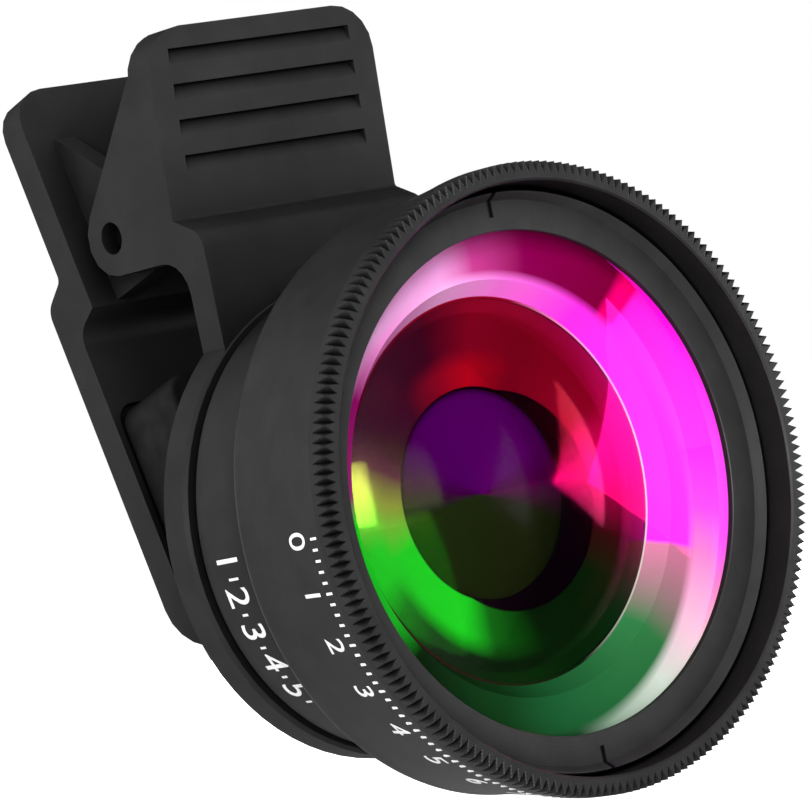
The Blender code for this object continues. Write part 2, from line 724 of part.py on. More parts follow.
def wide_barrel():
    """The large barrel with its notched rim."""
    profile = [
        (RIM_BORE + EASE / 2, RIM),
        (RIM_RADIUS - EASE / 2, RIM),
        (RIM_RADIUS, RIM - EASE / 2),
    ]
    straight = RIM - NOTCH_SIDE - EASE
    foot = SHOULDER + SHOULDER_ROUND
    for step in range(FLARE_STEPS + 1):
        share = 1 - step / FLARE_STEPS
        radius = SHOULDER_RADIUS + FLARE * share ** FLARE_POWER
        profile.append((radius, foot + (straight - foot) * share))
    for step in range(1, SHOULDER_STEPS + 1):
        angle = math.pi / 2 * step / SHOULDER_STEPS
        profile.append((SHOULDER_RADIUS - SHOULDER_ROUND * (1 - math.cos(angle)),
                        foot - SHOULDER_ROUND * math.sin(angle)))
    shelf = glass_back() - GASKET - 2 * SEAT_GAP
    ring_step = ring_back() - SEAT_GAP
    profile += [
        (TAIL_RADIUS - THREAD_RELIEF, SHOULDER),
        (TAIL_RADIUS - THREAD_RELIEF, SHOULDER - THREAD_RELIEF),
        (TAIL_RADIUS, SHOULDER - 2 * THREAD_RELIEF),
        (TAIL_RADIUS, TAIL_END + EASE),
        (TAIL_RADIUS - EASE, TAIL_END),
        (REAR_BORE, TAIL_END),
        (REAR_BORE, TAIL_END + REAR_GROUP + 2 * SEAT_GAP),
        (BAFFLE_RADIUS + SEAT_GAP, shelf),
        (GLASS_SEAT, shelf),
        (GLASS_SEAT, ring_step),
        (RIM_BORE, ring_step),
        (RIM_BORE, RIM - EASE / 2),
    ]
    barrel = turned("wide_barrel", profile, FINE)
    combine(barrel, notch_cutter(), "DIFFERENCE")
    return barrel


def notch_cutter():
    """One mesh of V-shaped wedges that cross the rim's outer corner on a slant."""
    slant = math.atan2(NOTCH_FACE, NOTCH_SIDE)
    depth = NOTCH_FACE * math.cos(slant)
    opening = NOTCH_OPENING * math.pi * RIM_RADIUS / NOTCHES
    reach = NOTCH_FACE + NOTCH_SIDE
    # each wedge goes twice as high as the rim's corner, so it is twice as wide at its top
    section = [(0, 0), (2 * opening, 2 * depth), (-2 * opening, 2 * depth)]
    place = Matrix.Translation((0, -RIM + NOTCH_SIDE / 2, RIM_RADIUS - NOTCH_FACE / 2))
    place = place @ Matrix.Rotation(slant, 4, "X")
    corners = []
    faces = []
    for index in range(NOTCHES):
        turn = Matrix.Rotation(2 * math.pi * (index + 0.5) / NOTCHES, 4, "Y")
        first = len(corners)
        for end in (-reach, reach):
            for across, up in section:
                corners.append(turn @ place @ Vector((across, end, up)))
        faces.append((first, first + 2, first + 1))
        faces.append((first + 3, first + 4, first + 5))
        for start, following in ((0, 1), (1, 2), (2, 0)):
            faces.append((first + start, first + following, first + following + 3, first + start + 3))
    mesh = bpy.data.meshes.new("notches")
    mesh.from_pydata(corners, [], faces)
    grid = bmesh.new()
    grid.from_mesh(mesh)
    bmesh.ops.recalc_face_normals(grid, faces=grid.faces)
    grid.to_mesh(mesh)
    grid.free()
    return add("notches", mesh, CUTTERS)


def glass_front():
    """Depth of the front glass's vertex."""
    return RIM - RING_DEPTH - RING_LIP - SEAT_GAP + sag(FRONT_GLASS_CURVE, VIEW_RADIUS)


def glass_edge():
    """Depth of the front edge of the front glass."""
    return glass_front() - sag(FRONT_GLASS_CURVE, FRONT_GLASS_RADIUS)


def glass_back():
    """Depth of the front glass's flat rear rim."""
    return glass_edge() - FRONT_GLASS_EDGE


def ring_back():
    """Depth of the retaining ring's rear end, beside the glass's front edge."""
    return glass_edge() - FRONT_GLASS_EDGE / 3


def front_glass():
    """The large meniscus: a shallow front, a deep hollow behind and a flat rim round the hollow."""
    profile = surface(FRONT_GLASS_CURVE, FRONT_GLASS_RADIUS, glass_front(), GLASS_STEPS + 1)
    profile.append((FRONT_GLASS_RADIUS, glass_back()))
    hollow_vertex = glass_back() + sag(FRONT_GLASS_HOLLOW, HOLLOW_RADIUS)
    profile += reversed(surface(FRONT_GLASS_HOLLOW, HOLLOW_RADIUS, hollow_vertex))
    return turned("front_element", profile, MEDIUM)


def front_ring():
    """The ring in front of the glass: a flat face, a bevel round it and two slots for a spanner."""
    outer = RIM_BORE - SEAT_GAP
    face = RIM - RING_DEPTH
    ring = turned("front_retaining_ring", [
        (VIEW_RADIUS, face),
        (outer - RING_BEVEL_WIDTH, face),
        (outer - EASE / 2, face + RING_BEVEL),
        (outer, face + RING_BEVEL),
        (outer, ring_back()),
        (GLASS_SEAT, ring_back()),
        (GLASS_SEAT, glass_edge() + SEAT_GAP),
        (VIEW_RADIUS, face - RING_LIP),
    ], MEDIUM)
    slot_top = face + 2 * RING_BEVEL
    slot_floor = face - RING_LIP / 2
    for sign in (-1, 1):
        grid = bmesh.new()
        size = Matrix.Diagonal((SLOT_WIDTH, slot_top - slot_floor, 2 * SLOT_LENGTH, 1))
        place = Matrix.Translation((0, -(slot_top + slot_floor) / 2, sign * outer))
        bmesh.ops.create_cube(grid, size=1, matrix=place @ size)
        mesh = bpy.data.meshes.new("spanner_slot")
        grid.to_mesh(mesh)
        grid.free()
        combine(ring, add("spanner_slot", mesh, CUTTERS), "DIFFERENCE")
    return ring


def wide_inner_pieces():
    """Gasket, baffle, rear group and its ring."""
    pieces = []
    gasket_front = glass_back() - SEAT_GAP
    gasket_back = gasket_front - GASKET
    gasket_inner = FRONT_GLASS_RADIUS - GASKET_WIDTH
    gasket = ring_section(gasket_inner, FRONT_GLASS_RADIUS, gasket_front, gasket_back)
    pieces.append(turned("front_gasket", gasket, MEDIUM))
    group_front = TAIL_END + REAR_GROUP
    baffle_foot = group_front + SEAT_GAP
    pieces.append(turned("light_baffle", [
        (BAFFLE_RADIUS - BAFFLE_WALL, gasket_front),
        (BAFFLE_RADIUS, gasket_front),
        (BAFFLE_RADIUS, gasket_back),
        (REAR_GLASS_RADIUS, baffle_foot + SEAT_GAP),
        (REAR_GLASS_RADIUS, baffle_foot),
        (REAR_CLEAR, baffle_foot),
        (REAR_CLEAR, baffle_foot + SEAT_GAP),
    ], MEDIUM))
    middle_back = group_front - MIDDLE_GLASS_EDGE
    pieces.append(rear_glass("middle_element", MIDDLE_GLASS_CURVE, group_front, middle_back,
                             MIDDLE_GLASS_HOLLOW))
    spacer_front = middle_back - SEAT_GAP
    spacer_back = spacer_front - WIDE_SPACER_LENGTH
    spacer = ring_section(REAR_CLEAR, REAR_GLASS_RADIUS, spacer_front, spacer_back)
    pieces.append(turned("wide_spacer", spacer, COARSE))
    ring_front = TAIL_END + REAR_RING_LENGTH
    rear_front = spacer_back - SEAT_GAP
    pieces.append(rear_glass("rear_element", REAR_GLASS_CURVE, rear_front, ring_front + SEAT_GAP))
    rear_ring = ring_section(REAR_CLEAR, REAR_GLASS_RADIUS, ring_front, TAIL_END)
    pieces.append(turned("rear_retaining_ring", rear_ring, COARSE))
    return pieces


def rear_glass(name, curve, front, back, hollow=None):
    """A glass of the rear group: a bulging front, a flat rim and a hollow or flat back."""
    profile = surface(curve, REAR_CLEAR, front + sag(curve, REAR_CLEAR))
    profile += [(REAR_GLASS_RADIUS, front), (REAR_GLASS_RADIUS, back)]
    if hollow:
        profile += reversed(surface(hollow, REAR_CLEAR, back + sag(hollow, REAR_CLEAR)))
    else:
        profile.append((0, back))
    return turned(name, profile, COARSE)


# Assembly

def build():
    hinge = pivot("clip_hinge", HINGE, -math.radians(REAR_TILT))
    macro_thread = pivot("macro_thread", (0, -MACRO_BACK, 0))
    wide_thread = pivot("wide_thread", (0, -SHOULDER, 0))
    wide_thread.parent = macro_thread
    wide_thread.matrix_parent_inverse = macro_thread.matrix_world.inverted()

    dress(front_jaw(), moulded("front_jaw_plastic"))
    dress(front_pad(), rubber("front_pad_rubber"))
    dress(hinge_pin(), steel("pin_steel"))
    dress(torsion_spring(), steel("spring_steel"))
    jaw, pad = rear_jaw(hinge)
    dress(jaw, moulded("rear_jaw_plastic"))
    dress(pad, rubber("rear_pad_rubber"))

    finishes = {
        "macro_barrel": anodised,
        "macro_rear_element": glass,
        "macro_spacer": anodised,
        "macro_front_element": glass,
        "macro_retaining_ring": anodised,
    }
    for piece in macro_lens():
        dress(piece, finishes[piece.name](piece.name + "_finish"))
        ride(piece, macro_thread)

    dress(wide_barrel(), anodised("wide_barrel_finish"))
    dress(front_glass(), glass("front_element_glass", (0.8, 0.7, 0.85)))
    dress(front_ring(), anodised("front_ring_finish"))
    kinds = {"front_gasket": rubber, "middle_element": glass, "rear_element": glass}
    for piece in wide_inner_pieces():
        dress(piece, kinds.get(piece.name, anodised)(piece.name + "_finish"))
    for name in ("wide_barrel", "front_element", "front_retaining_ring", "front_gasket", "light_baffle",
                 "middle_element", "wide_spacer", "rear_element", "rear_retaining_ring"):
        ride(bpy.data.objects[name], wide_thread)


build()
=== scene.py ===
# %% [markdown]
# # Dressing a clip-on phone lens
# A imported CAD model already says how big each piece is, where it sits and what moves. This
# notebook gives it the looks: eased edges, turned barrels, teeth, threads, coated glass and a
# small studio. Every size is in millimetres until a mesh is made, because the object is small
# and whole numbers are easier to check against the CAD than metres.

# %% Load the frame
import math
import bpy
import bmesh
from mathutils import Matrix, Vector


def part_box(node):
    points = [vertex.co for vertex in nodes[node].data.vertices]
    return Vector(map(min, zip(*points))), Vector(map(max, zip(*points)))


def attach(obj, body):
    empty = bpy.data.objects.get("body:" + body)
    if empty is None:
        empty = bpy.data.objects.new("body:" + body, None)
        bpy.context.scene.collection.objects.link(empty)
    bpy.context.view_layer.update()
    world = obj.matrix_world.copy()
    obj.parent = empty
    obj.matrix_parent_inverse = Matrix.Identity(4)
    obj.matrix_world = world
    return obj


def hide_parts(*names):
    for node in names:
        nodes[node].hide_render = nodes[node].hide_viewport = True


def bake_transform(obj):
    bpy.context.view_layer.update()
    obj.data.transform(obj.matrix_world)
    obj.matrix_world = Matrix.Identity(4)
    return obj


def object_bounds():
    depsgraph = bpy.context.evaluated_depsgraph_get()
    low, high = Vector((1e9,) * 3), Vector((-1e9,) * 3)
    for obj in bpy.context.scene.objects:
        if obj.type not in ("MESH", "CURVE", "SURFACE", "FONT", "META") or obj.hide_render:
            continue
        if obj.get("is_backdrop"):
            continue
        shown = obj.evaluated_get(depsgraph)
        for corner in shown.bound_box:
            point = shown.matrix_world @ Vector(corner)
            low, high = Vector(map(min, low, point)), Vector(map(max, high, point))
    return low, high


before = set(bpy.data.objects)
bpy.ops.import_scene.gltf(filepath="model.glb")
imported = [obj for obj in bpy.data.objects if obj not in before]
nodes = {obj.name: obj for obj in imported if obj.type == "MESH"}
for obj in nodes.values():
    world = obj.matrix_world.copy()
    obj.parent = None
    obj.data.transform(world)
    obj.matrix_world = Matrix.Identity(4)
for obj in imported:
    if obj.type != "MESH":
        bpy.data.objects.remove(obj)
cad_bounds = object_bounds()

MM = 0.001


def linked(name, data):
    """A new object for some data, linked into the scene."""
    made = bpy.data.objects.new(name, data)
    bpy.context.scene.collection.objects.link(made)
    return made


def harvest(holder, *tools):
    """The mesh of an object with its modifiers applied; the object and its tools are removed."""
    bpy.context.view_layer.update()
    made = bpy.data.meshes.new_from_object(holder.evaluated_get(bpy.context.evaluated_depsgraph_get()))
    for spent in (*tools, holder):
        bpy.data.objects.remove(spent)
    return made


def poured(grid, name):
    """A new mesh from a bmesh, which is freed."""
    mesh = bpy.data.meshes.new(name)
    grid.to_mesh(mesh)
    grid.free()
    return mesh

# %% [markdown]
# ## The camera first
# The photograph was taken level with the lens, from its left, with the camera rolled by about
# twelve degrees. A camera in Blender looks along its own -Z with +Y up, so the three columns of
# its rotation are the picture's right, the picture's up and the direction back to the camera.

# %% Camera
RIGHT = Vector((0.744, -0.6362, -0.2043)).normalized()
UP = Vector((0.1496, -0.1394, 0.9789)).normalized()
FORWARD = Vector((0.6512, 0.7589, 0.0085)).normalized()
camera_data = bpy.data.cameras.new("studio_camera")
camera_data.sensor_width = 36
camera_data.lens = 221.67
camera_data.clip_start = 0.01
camera = linked("studio_camera", camera_data)
turn = Matrix((RIGHT, UP, -FORWARD)).transposed().to_4x4()
camera.matrix_world = Matrix.Translation((-0.2050, -0.24715, 0.0037)) @ turn
bpy.context.scene.camera = camera
bpy.context.scene.view_settings.view_transform = "Standard"
print("camera stands", round(camera.location.length * 1000), "mm from the origin")

# %% [markdown]
# ## A small studio
# The background of the photograph is plain white. The world shows white to the camera and in
# reflections, and lights the object far more gently, through the Light Path node, so that the
# black recesses stay black. The floor is a real diffuse surface, so that it keeps the shadow,
# with a glow of its own that only the camera sees.

# %% Node helpers
def feed(tree, socket, value):
    """Link a socket to another one, or set it to a value."""
    if isinstance(value, bpy.types.NodeSocket):
        tree.links.new(value, socket)
    else:
        socket.default_value = value


def fill(tree, node, **inputs):
    """Feed the inputs of a node by their labels, with underscores for spaces."""
    for label, value in inputs.items():
        feed(tree, node.inputs[label.replace("_", " ")], value)
    return node


def put(tree, kind, **inputs):
    """A new node with its inputs fed."""
    return fill(tree, tree.nodes.new(kind), **inputs)


def compute(tree, operation, *values):
    """The result of one Math node."""
    made = tree.nodes.new("ShaderNodeMath")
    made.operation = operation
    for socket, value in zip(made.inputs, values):
        feed(tree, socket, value)
    return made.outputs[0]


def spread(tree, factor, low, high):
    """A 0 to 1 factor mapped onto another range."""
    return put(tree, "ShaderNodeMapRange", Value=factor, To_Min=low, To_Max=high).outputs["Result"]


def start(name):
    """A new material, its node tree and its shader."""
    made = bpy.data.materials.new(name)
    made.use_nodes = True
    return made, made.node_tree, made.node_tree.nodes["Principled BSDF"]


# %% World
AMBIENT = 0.12
world = bpy.data.worlds.new("studio")
bpy.context.scene.world = world
world.use_nodes = True
sky = world.node_tree
sky.nodes.clear()
path = put(sky, "ShaderNodeLightPath").outputs
seen = compute(sky, "ADD", path["Is Camera Ray"], path["Is Glossy Ray"])
shown = compute(sky, "ADD", seen, path["Is Transmission Ray"])
shown.node.use_clamp = True
background = put(sky, "ShaderNodeBackground", Color=(1, 1, 1, 1),
                 Strength=spread(sky, shown, AMBIENT, 1))
put(sky, "ShaderNodeOutputWorld", Surface=background.outputs[0])
print("the world lights at", AMBIENT)

# %% Floor
FLOOR, FLOOR_REACH, FLOOR_GLOW = -30.0, 6, 0.9
grid = bmesh.new()
bmesh.ops.create_circle(grid, cap_ends=True, segments=64, radius=FLOOR_REACH,
                        matrix=Matrix.Translation((0, 0, FLOOR * MM)))
floor = linked("floor", poured(grid, "floor"))
floor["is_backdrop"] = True
paper, sheet, shader = start("pale_paper")
eye = put(sheet, "ShaderNodeLightPath").outputs["Is Camera Ray"]
fill(sheet, shader, Base_Color=(0.9, 0.9, 0.9, 1), Roughness=0.9, Emission_Color=(1, 1, 1, 1),
     Emission_Strength=spread(sheet, eye, 0, FLOOR_GLOW))
floor.data.materials.append(paper)
print("floor at", FLOOR, "mm")

# %% [markdown]
# Four softboxes light the clip. The key stands at the camera's left, where the photograph is
# brightest, and one behind lights the back. The lamps at the right and behind are hidden from
# reflections, so that no lamp shows in the coated glass as a square.

# %% Lamps
def softbox(name, place, aim, width, height, power):
    """A rectangular lamp at a place in metres that faces another point."""
    lamp = bpy.data.lights.new(name, "AREA")
    lamp.shape = "RECTANGLE"
    lamp.size = width
    lamp.size_y = height
    lamp.energy = power
    holder = linked(name, lamp)
    look = Vector(aim) - Vector(place)
    holder.rotation_euler = look.to_track_quat("-Z", "Y").to_euler()
    holder.location = place
    return holder


LENS = Vector((0, -0.018, 0))
softbox("key_softbox", (-0.46, -0.48, 0.04), LENS, 0.4, 0.4, 12.0)
softbox("top_softbox", (-0.1, -0.1, 0.6), LENS, 0.5, 0.5, 0.4)
softbox("right_softbox", (0.5, -0.2, 0.05), LENS, 0.32, 0.45, 0.3).visible_glossy = False
softbox("back_softbox", (0.28, 0.6, 0.06), LENS, 0.5, 0.5, 7.0).visible_glossy = False
print("lamps:", len(bpy.data.lights))

# %% [markdown]
# A photographer keeps glass from going milky with black flags: dark cloth that the glass
# reflects in place of the white room. The lens here sees one curved flag on its right, one high
# behind that keeps the tops of the barrels dark, and a cloth on the floor in front. In a gap
# stands the bright face of a softbox, close to the lens. The photograph shows it as a bright
# patch with straight sides, and the face's corners were found by following the camera's rays
# off the dome of the glass. All of them are seen by reflections only, so they neither show in
# the picture nor shade the object.

# %% Flags and the softbox's face
def card(name, corners, faces, color, glow=0.0):
    """A panel through points in metres, which only reflections see."""
    mesh = bpy.data.meshes.new(name)
    mesh.from_pydata(corners, [], faces)
    panel = linked(name, mesh)
    panel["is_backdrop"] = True
    for ray in ("camera", "diffuse", "transmission", "shadow"):
        setattr(panel, "visible_" + ray, False)
    cloth, tree, shader = start(name + "_cloth")
    fill(tree, shader, Base_Color=(*color, 1), Roughness=1, Specular_IOR_Level=0,
         Emission_Color=(1, 1, 1, 1), Emission_Strength=glow)
    mesh.materials.append(cloth)


def around(azimuth, elevation, distance):
    """A point at a distance from the lens; azimuth 0 is straight in front, 90 to its right."""
    level_part = math.cos(math.radians(elevation)) * distance
    return (level_part * math.sin(math.radians(azimuth)),
            LENS.y - level_part * math.cos(math.radians(azimuth)),
            math.sin(math.radians(elevation)) * distance)


FLAG_STEPS, FLAG_DISTANCE, BLACK_CLOTH = 12, 0.7, (0.002, 0.002, 0.002)


def curved_card(name, start, end, bottom, top):
    """A black sheet bent round the lens between two azimuths and two elevations."""
    turns = [start + (end - start) * step / FLAG_STEPS for step in range(FLAG_STEPS + 1)]
    edges = [around(turn, elevation, FLAG_DISTANCE) for elevation in (bottom, top) for turn in turns]
    strips = [(step, step + 1, FLAG_STEPS + 2 + step, FLAG_STEPS + 1 + step)
              for step in range(FLAG_STEPS)]
    card(name, edges, strips, BLACK_CLOTH)


curved_card("curved_flag", -2, 105, -6, 55)
curved_card("back_flag", 105, 185, 10, 80)

# %% Cloth on the floor
CLOTH_HEIGHT, CLOTH_REACH = -0.0295, 1.2
rim_points = [around(-8 + 113 * step / FLAG_STEPS, 0, CLOTH_REACH) for step in range(FLAG_STEPS + 1)]
cloth_points = [(0.0, LENS.y, CLOTH_HEIGHT)] + [(x, y, CLOTH_HEIGHT) for x, y, _ in rim_points]
fan = [(0, step + 1, step + 2) for step in range(FLAG_STEPS)]
card("floor_cloth", cloth_points, fan, BLACK_CLOTH)

# %% Face of the softbox
FACE_CORNERS = [
    (81, -98, -4), (94, -84, -14), (110, -60, -26), (102, -30, -28), (126, -24, -16), (127, -25, 1),
    (125, -28, 17), (120, -32, 35), (110, -43, 53), (107, -53, 48), (99, -74, 30), (97, -80, 21)]
FACE_CENTRE, FACE_GLOW = (111, -63, 8), 5.5
corners = [Vector(corner) * MM for corner in FACE_CORNERS + [FACE_CENTRE]]
last = len(FACE_CORNERS)
fan = [(step, (step + 1) % last, last) for step in range(last)]
card("softbox_face", corners, fan, (0.8, 0.8, 0.8), FACE_GLOW)
print("softbox face:", last, "corners")

# %% [markdown]
# ## Finishes
# Every finish starts from Blender's Principled shader. What makes plastic look moulded or metal
# look turned is small: a change of colour too slight to notice by itself, a roughness that
# varies, and a bump of about a hundredth of a millimetre. Object coordinates are in metres
# here, so a noise scale of 5000 gives spots of a fifth of a millimetre. Shade is also painted
# into the colour of the black finishes: Ambient Occlusion darkens the colour in the throat and
# the other hollows, deeper than the lamps shade them, and the closer the surfaces round a point,
# the darker its painted shade.

# %% Noise, relief and shade
def ramp(tree, factor, *stops):
    """A colour ramp through (position, colour) stops."""
    made = tree.nodes.new("ShaderNodeValToRGB")
    tree.links.new(factor, made.inputs["Fac"])
    marks = made.color_ramp.elements
    while len(marks) < len(stops):
        marks.new(0.5)
    for mark, (position, color) in zip(marks, stops):
        mark.position = position
        mark.color = (*color, 1)
    return made.outputs["Color"]


def place_of(tree):
    """Object coordinates, in metres."""
    return tree.nodes.new("ShaderNodeTexCoord").outputs["Object"]


def off_axis(tree):
    """Object coordinates as X, Y and Z, and the distance from the lens axis."""
    parts = put(tree, "ShaderNodeSeparateXYZ", Vector=place_of(tree))
    flat = put(tree, "ShaderNodeCombineXYZ", X=parts.outputs["X"], Z=parts.outputs["Z"])
    radius = put(tree, "ShaderNodeVectorMath", Vector=flat.outputs[0])
    radius.operation = "LENGTH"
    return parts.outputs["X"], parts.outputs["Y"], parts.outputs["Z"], radius.outputs["Value"]


def grain(tree, place, scale, detail=3.0):
    """Noise from 0 to 1 whose spots are 1/scale metres wide."""
    return put(tree, "ShaderNodeTexNoise", Vector=place, Scale=scale, Detail=detail,
               Roughness=0.6).outputs["Fac"]


def relief(tree, shader, height, depth):
    """Bump of a depth in millimetres from a height of 0 to 1."""
    bump = put(tree, "ShaderNodeBump", Strength=1.0, Distance=depth * MM, Height=height)
    fill(tree, shader, Normal=bump.outputs["Normal"])


def painted_shade_in_hollows(tree, color, reach, power):
    """Painted shade: a colour that darkens where other surfaces stand within a reach in millimetres."""
    open_sky = put(tree, "ShaderNodeAmbientOcclusion", Distance=reach * MM)
    open_sky.samples = 4
    share = compute(tree, "POWER", open_sky.outputs["AO"], power)
    painted_shade = put(tree, "ShaderNodeMixRGB", Fac=share, Color1=(0, 0, 0, 1), Color2=color)
    return painted_shade.outputs["Color"]


# %% [markdown]
# ### Moulded plastic
# Most finishes follow three noises: one for the colour, one for the roughness and one for the
# relief. The clip is nylon from a spark-eroded mould, with a fine, even grain and a soft sheen.
# Its colour follows a second, much broader noise, because one alone looks like wallpaper.

# %% Clip plastic
def grained(name, stops, noises, rough, depth, painted_shade=None, **settings):
    """A finish whose colour, roughness and relief each follow a noise, with painted shade in its hollows
    when a reach is given.
    """
    made, tree, shader = start(name)
    tint, sheen, pores = (grain(tree, place_of(tree), *noise) for noise in noises)
    color = ramp(tree, tint, *stops)
    if painted_shade:
        color = painted_shade_in_hollows(tree, color, *painted_shade)
    fill(tree, shader, Base_Color=color, Roughness=spread(tree, sheen, *rough), **settings)
    relief(tree, shader, pores, depth)
    return made


FINE, BROAD = (9000,), (260, 2.0)
# The clip's colour carries painted shade: it darkens within 14 mm of other surfaces.
clip_plastic = grained(
    "clip_plastic", [(0.3, (0.017, 0.017, 0.0173)), (0.7, (0.023, 0.023, 0.0233))],
    (BROAD, FINE, FINE), (0.42, 0.62), 0.012, (14.0, 2.0), Specular_IOR_Level=0.06)
print("made", clip_plastic.name)

# %% [markdown]
# ### Black anodised aluminium
# The barrels are blasted and anodised: a sandy grain over faint rings from the lathe. The rings
# need a coordinate that runs along the barrel's side and also across its flat faces, so the
# distance from the axis and the depth are added into one number.

# %% Barrel finish
def anodised(name, dark, light, rings, rough):
    made, tree, shader = start(name)
    place = place_of(tree)
    _, depth, _, radius = off_axis(tree)
    along = compute(tree, "ADD", radius, depth)
    track = put(tree, "ShaderNodeCombineXYZ", X=along)
    lathe_marks = grain(tree, track.outputs[0], 7000, 2.0)
    sand = grain(tree, place, 11000, 2.0)
    cloud = grain(tree, place, 400)
    mixed = compute(tree, "MULTIPLY_ADD", lathe_marks, rings, sand)
    color = ramp(tree, cloud, (0.3, dark), (0.75, light))
    # Painted shade: the barrel colours darken within 10 mm of other surfaces.
    fill(tree, shader, Base_Color=painted_shade_in_hollows(tree, color, 10.0, 1.6),
         Roughness=spread(tree, sand, rough - 0.1, rough + 0.1), Specular_IOR_Level=0.1)
    relief(tree, shader, mixed, 0.01)
    return made


barrel_black = anodised("barrel_black", (0.015, 0.015, 0.0153), (0.022, 0.022, 0.0224), 0.5, 0.42)
lathe_black = anodised("lathe_black", (0.03, 0.03, 0.0305), (0.042, 0.042, 0.0425), 1.5, 0.36)
print("made", barrel_black.name, "and", lathe_black.name)

# %% [markdown]
# ### Soft rubber, steel and ink
# Rubber scatters nearly all light, so only a dusty variation shows. Steel wire is drawn through
# a die, which leaves streaks along it. Printed ink is slightly thin in places. The pin and the
# back of the baffle are blackened: an even, dull oxide that shows as the darkest black. The
# rubber and the oxide also carry painted shade in their hollows.

# %% Rubber, steel, oxide, ink
DUST, PORES, STREAKS, OXIDE = (900, 4.0), (6000, 2.0), (2500, 4.0), (3000, 4.0)
# Painted shade: the rubber darkens within 14 mm of other surfaces.
soft_rubber = grained(
    "soft_rubber", [(0.3, (0.01, 0.01, 0.01)), (0.8, (0.02, 0.02, 0.02))],
    (DUST, DUST, PORES), (0.75, 0.95), 0.02, (14.0, 2.0), Specular_IOR_Level=0.05)
spring_steel = grained(
    "spring_steel", [(0.3, (0.3, 0.3, 0.31)), (0.7, (0.42, 0.42, 0.43))],
    (STREAKS, STREAKS, STREAKS), (0.25, 0.42), 0.004, Metallic=1)
# Painted shade: the oxide darkens within 6 mm of other surfaces.
pin_black = grained(
    "pin_black", [(0.3, (0.003, 0.003, 0.0035)), (0.8, (0.009, 0.008, 0.009))],
    (OXIDE, OXIDE, OXIDE), (0.5, 0.75), 0.005, (6.0, 1.5), Specular_IOR_Level=0.02)
white_ink, tree, shader = start("white_ink")
thin = grain(tree, place_of(tree), 4000)
fill(tree, shader, Base_Color=ramp(tree, thin, (0.25, (0.6, 0.6, 0.6)), (0.6, (0.82, 0.82, 0.82))),
     Roughness=0.55)
print("finishes so far:", len(bpy.data.materials))

# %% [markdown]
# ### Coated glass and painted reflections
# A coated lens reflects a narrow band of colour and lets the rest through. That is a thin
# coloured mirror over something transparent: a metallic shader whose alpha is how much it
# reflects. Layer Weight makes the edge of the glass reflect more than its middle, as real glass
# does. The tint of these mirrors is painted to change round the lens, so their real reflections
# take painted colours. The bands of magenta, red and green that show round the lens come from
# many coatings and many inner reflections. Here they are painted reflections on the surfaces
# inside the glass: a colour wheel round the lens axis, and a second one past a border radius,
# where the outer band of the glass changes. The lip of the opening is painted black, wide at one
# side and thin at the other: painted shade where the edge of the rear group hides it.

# %% Glass finishes
def wheel(tree, *stops):
    """A colour ramp round the lens axis: 0 at the right, a quarter at the top, half at the left."""
    parts = put(tree, "ShaderNodeSeparateXYZ", Vector=place_of(tree))
    heading = compute(tree, "ARCTAN2", parts.outputs["Z"], parts.outputs["X"])
    turns = compute(tree, "DIVIDE", heading, 2 * math.pi)
    wander = spread(tree, grain(tree, place_of(tree), 120, 1.0), -0.008, 0.008)
    share = compute(tree, "FRACT", compute(tree, "ADD", compute(tree, "ADD", turns, 1.0), wander))
    return ramp(tree, share, *stops)


def coating_with_painted_tint(name, stops, rough, middle, edge):
    """A real coloured reflection over something transparent, whose tint is painted to change round the
    lens.
    """
    made, tree, shader = start(name)
    smear = grain(tree, place_of(tree), 500, 2.0)
    facing = put(tree, "ShaderNodeLayerWeight", Blend=0.35).outputs["Fresnel"]
    fill(tree, shader, Base_Color=wheel(tree, *stops), Metallic=1,
         Roughness=spread(tree, smear, rough * 0.8, rough * 1.2),
         Alpha=spread(tree, facing, middle, edge))
    return made


ZONE_DROP, PAINTED_SHADE_BLACK = 0.08, (0.002, 0.0, 0.002, 1)


def between(tree, value, low, high):
    """A share that runs from 0 to 1 between two lengths in millimetres."""
    return put(tree, "ShaderNodeMapRange", Value=value, From_Min=low * MM,
               From_Max=high * MM).outputs["Result"]


def painted_reflections(name, stops, rough, outer=None, border=(0, 0)):
    """A surface inside the glass with painted reflections: colours that change round it and past a border
    radius in mm.
    """
    made, tree, shader = start(name)
    color = wheel(tree, *stops)
    if outer:
        _, _, height, radius = off_axis(tree)
        lowered = compute(tree, "MULTIPLY_ADD", height, ZONE_DROP, radius)
        color = put(tree, "ShaderNodeMixRGB", Fac=between(tree, lowered, *border), Color1=color,
                    Color2=wheel(tree, *outer)).outputs["Color"]
    smear = grain(tree, place_of(tree), 300, 2.0)
    fill(tree, shader, Base_Color=color, Specular_IOR_Level=0.03,
         Roughness=spread(tree, smear, rough * 0.8, rough * 1.2))
    return made


def painted_shade_lip(made, inside, width):
    """Painted shade: the lip of an opening painted black on a finish, widest at its lower right; sizes in
    mm.
    """
    tree = made.node_tree
    target = tree.nodes["Principled BSDF"].inputs["Base Color"]
    across, _, height, radius = off_axis(tree)
    sideways = compute(tree, "SUBTRACT", compute(tree, "MULTIPLY", across, 0.9),
                       compute(tree, "MULTIPLY", height, 0.4))
    wide = compute(tree, "MAXIMUM", compute(tree, "DIVIDE", sideways, radius), 0.0)
    beyond = compute(tree, "SUBTRACT", radius, compute(tree, "MULTIPLY", wide, width * MM))
    painted = put(tree, "ShaderNodeMixRGB", Fac=between(tree, beyond, inside, inside + 0.08),
                  Color1=PAINTED_SHADE_BLACK, Color2=target.links[0].from_socket)
    tree.links.new(painted.outputs["Color"], target)
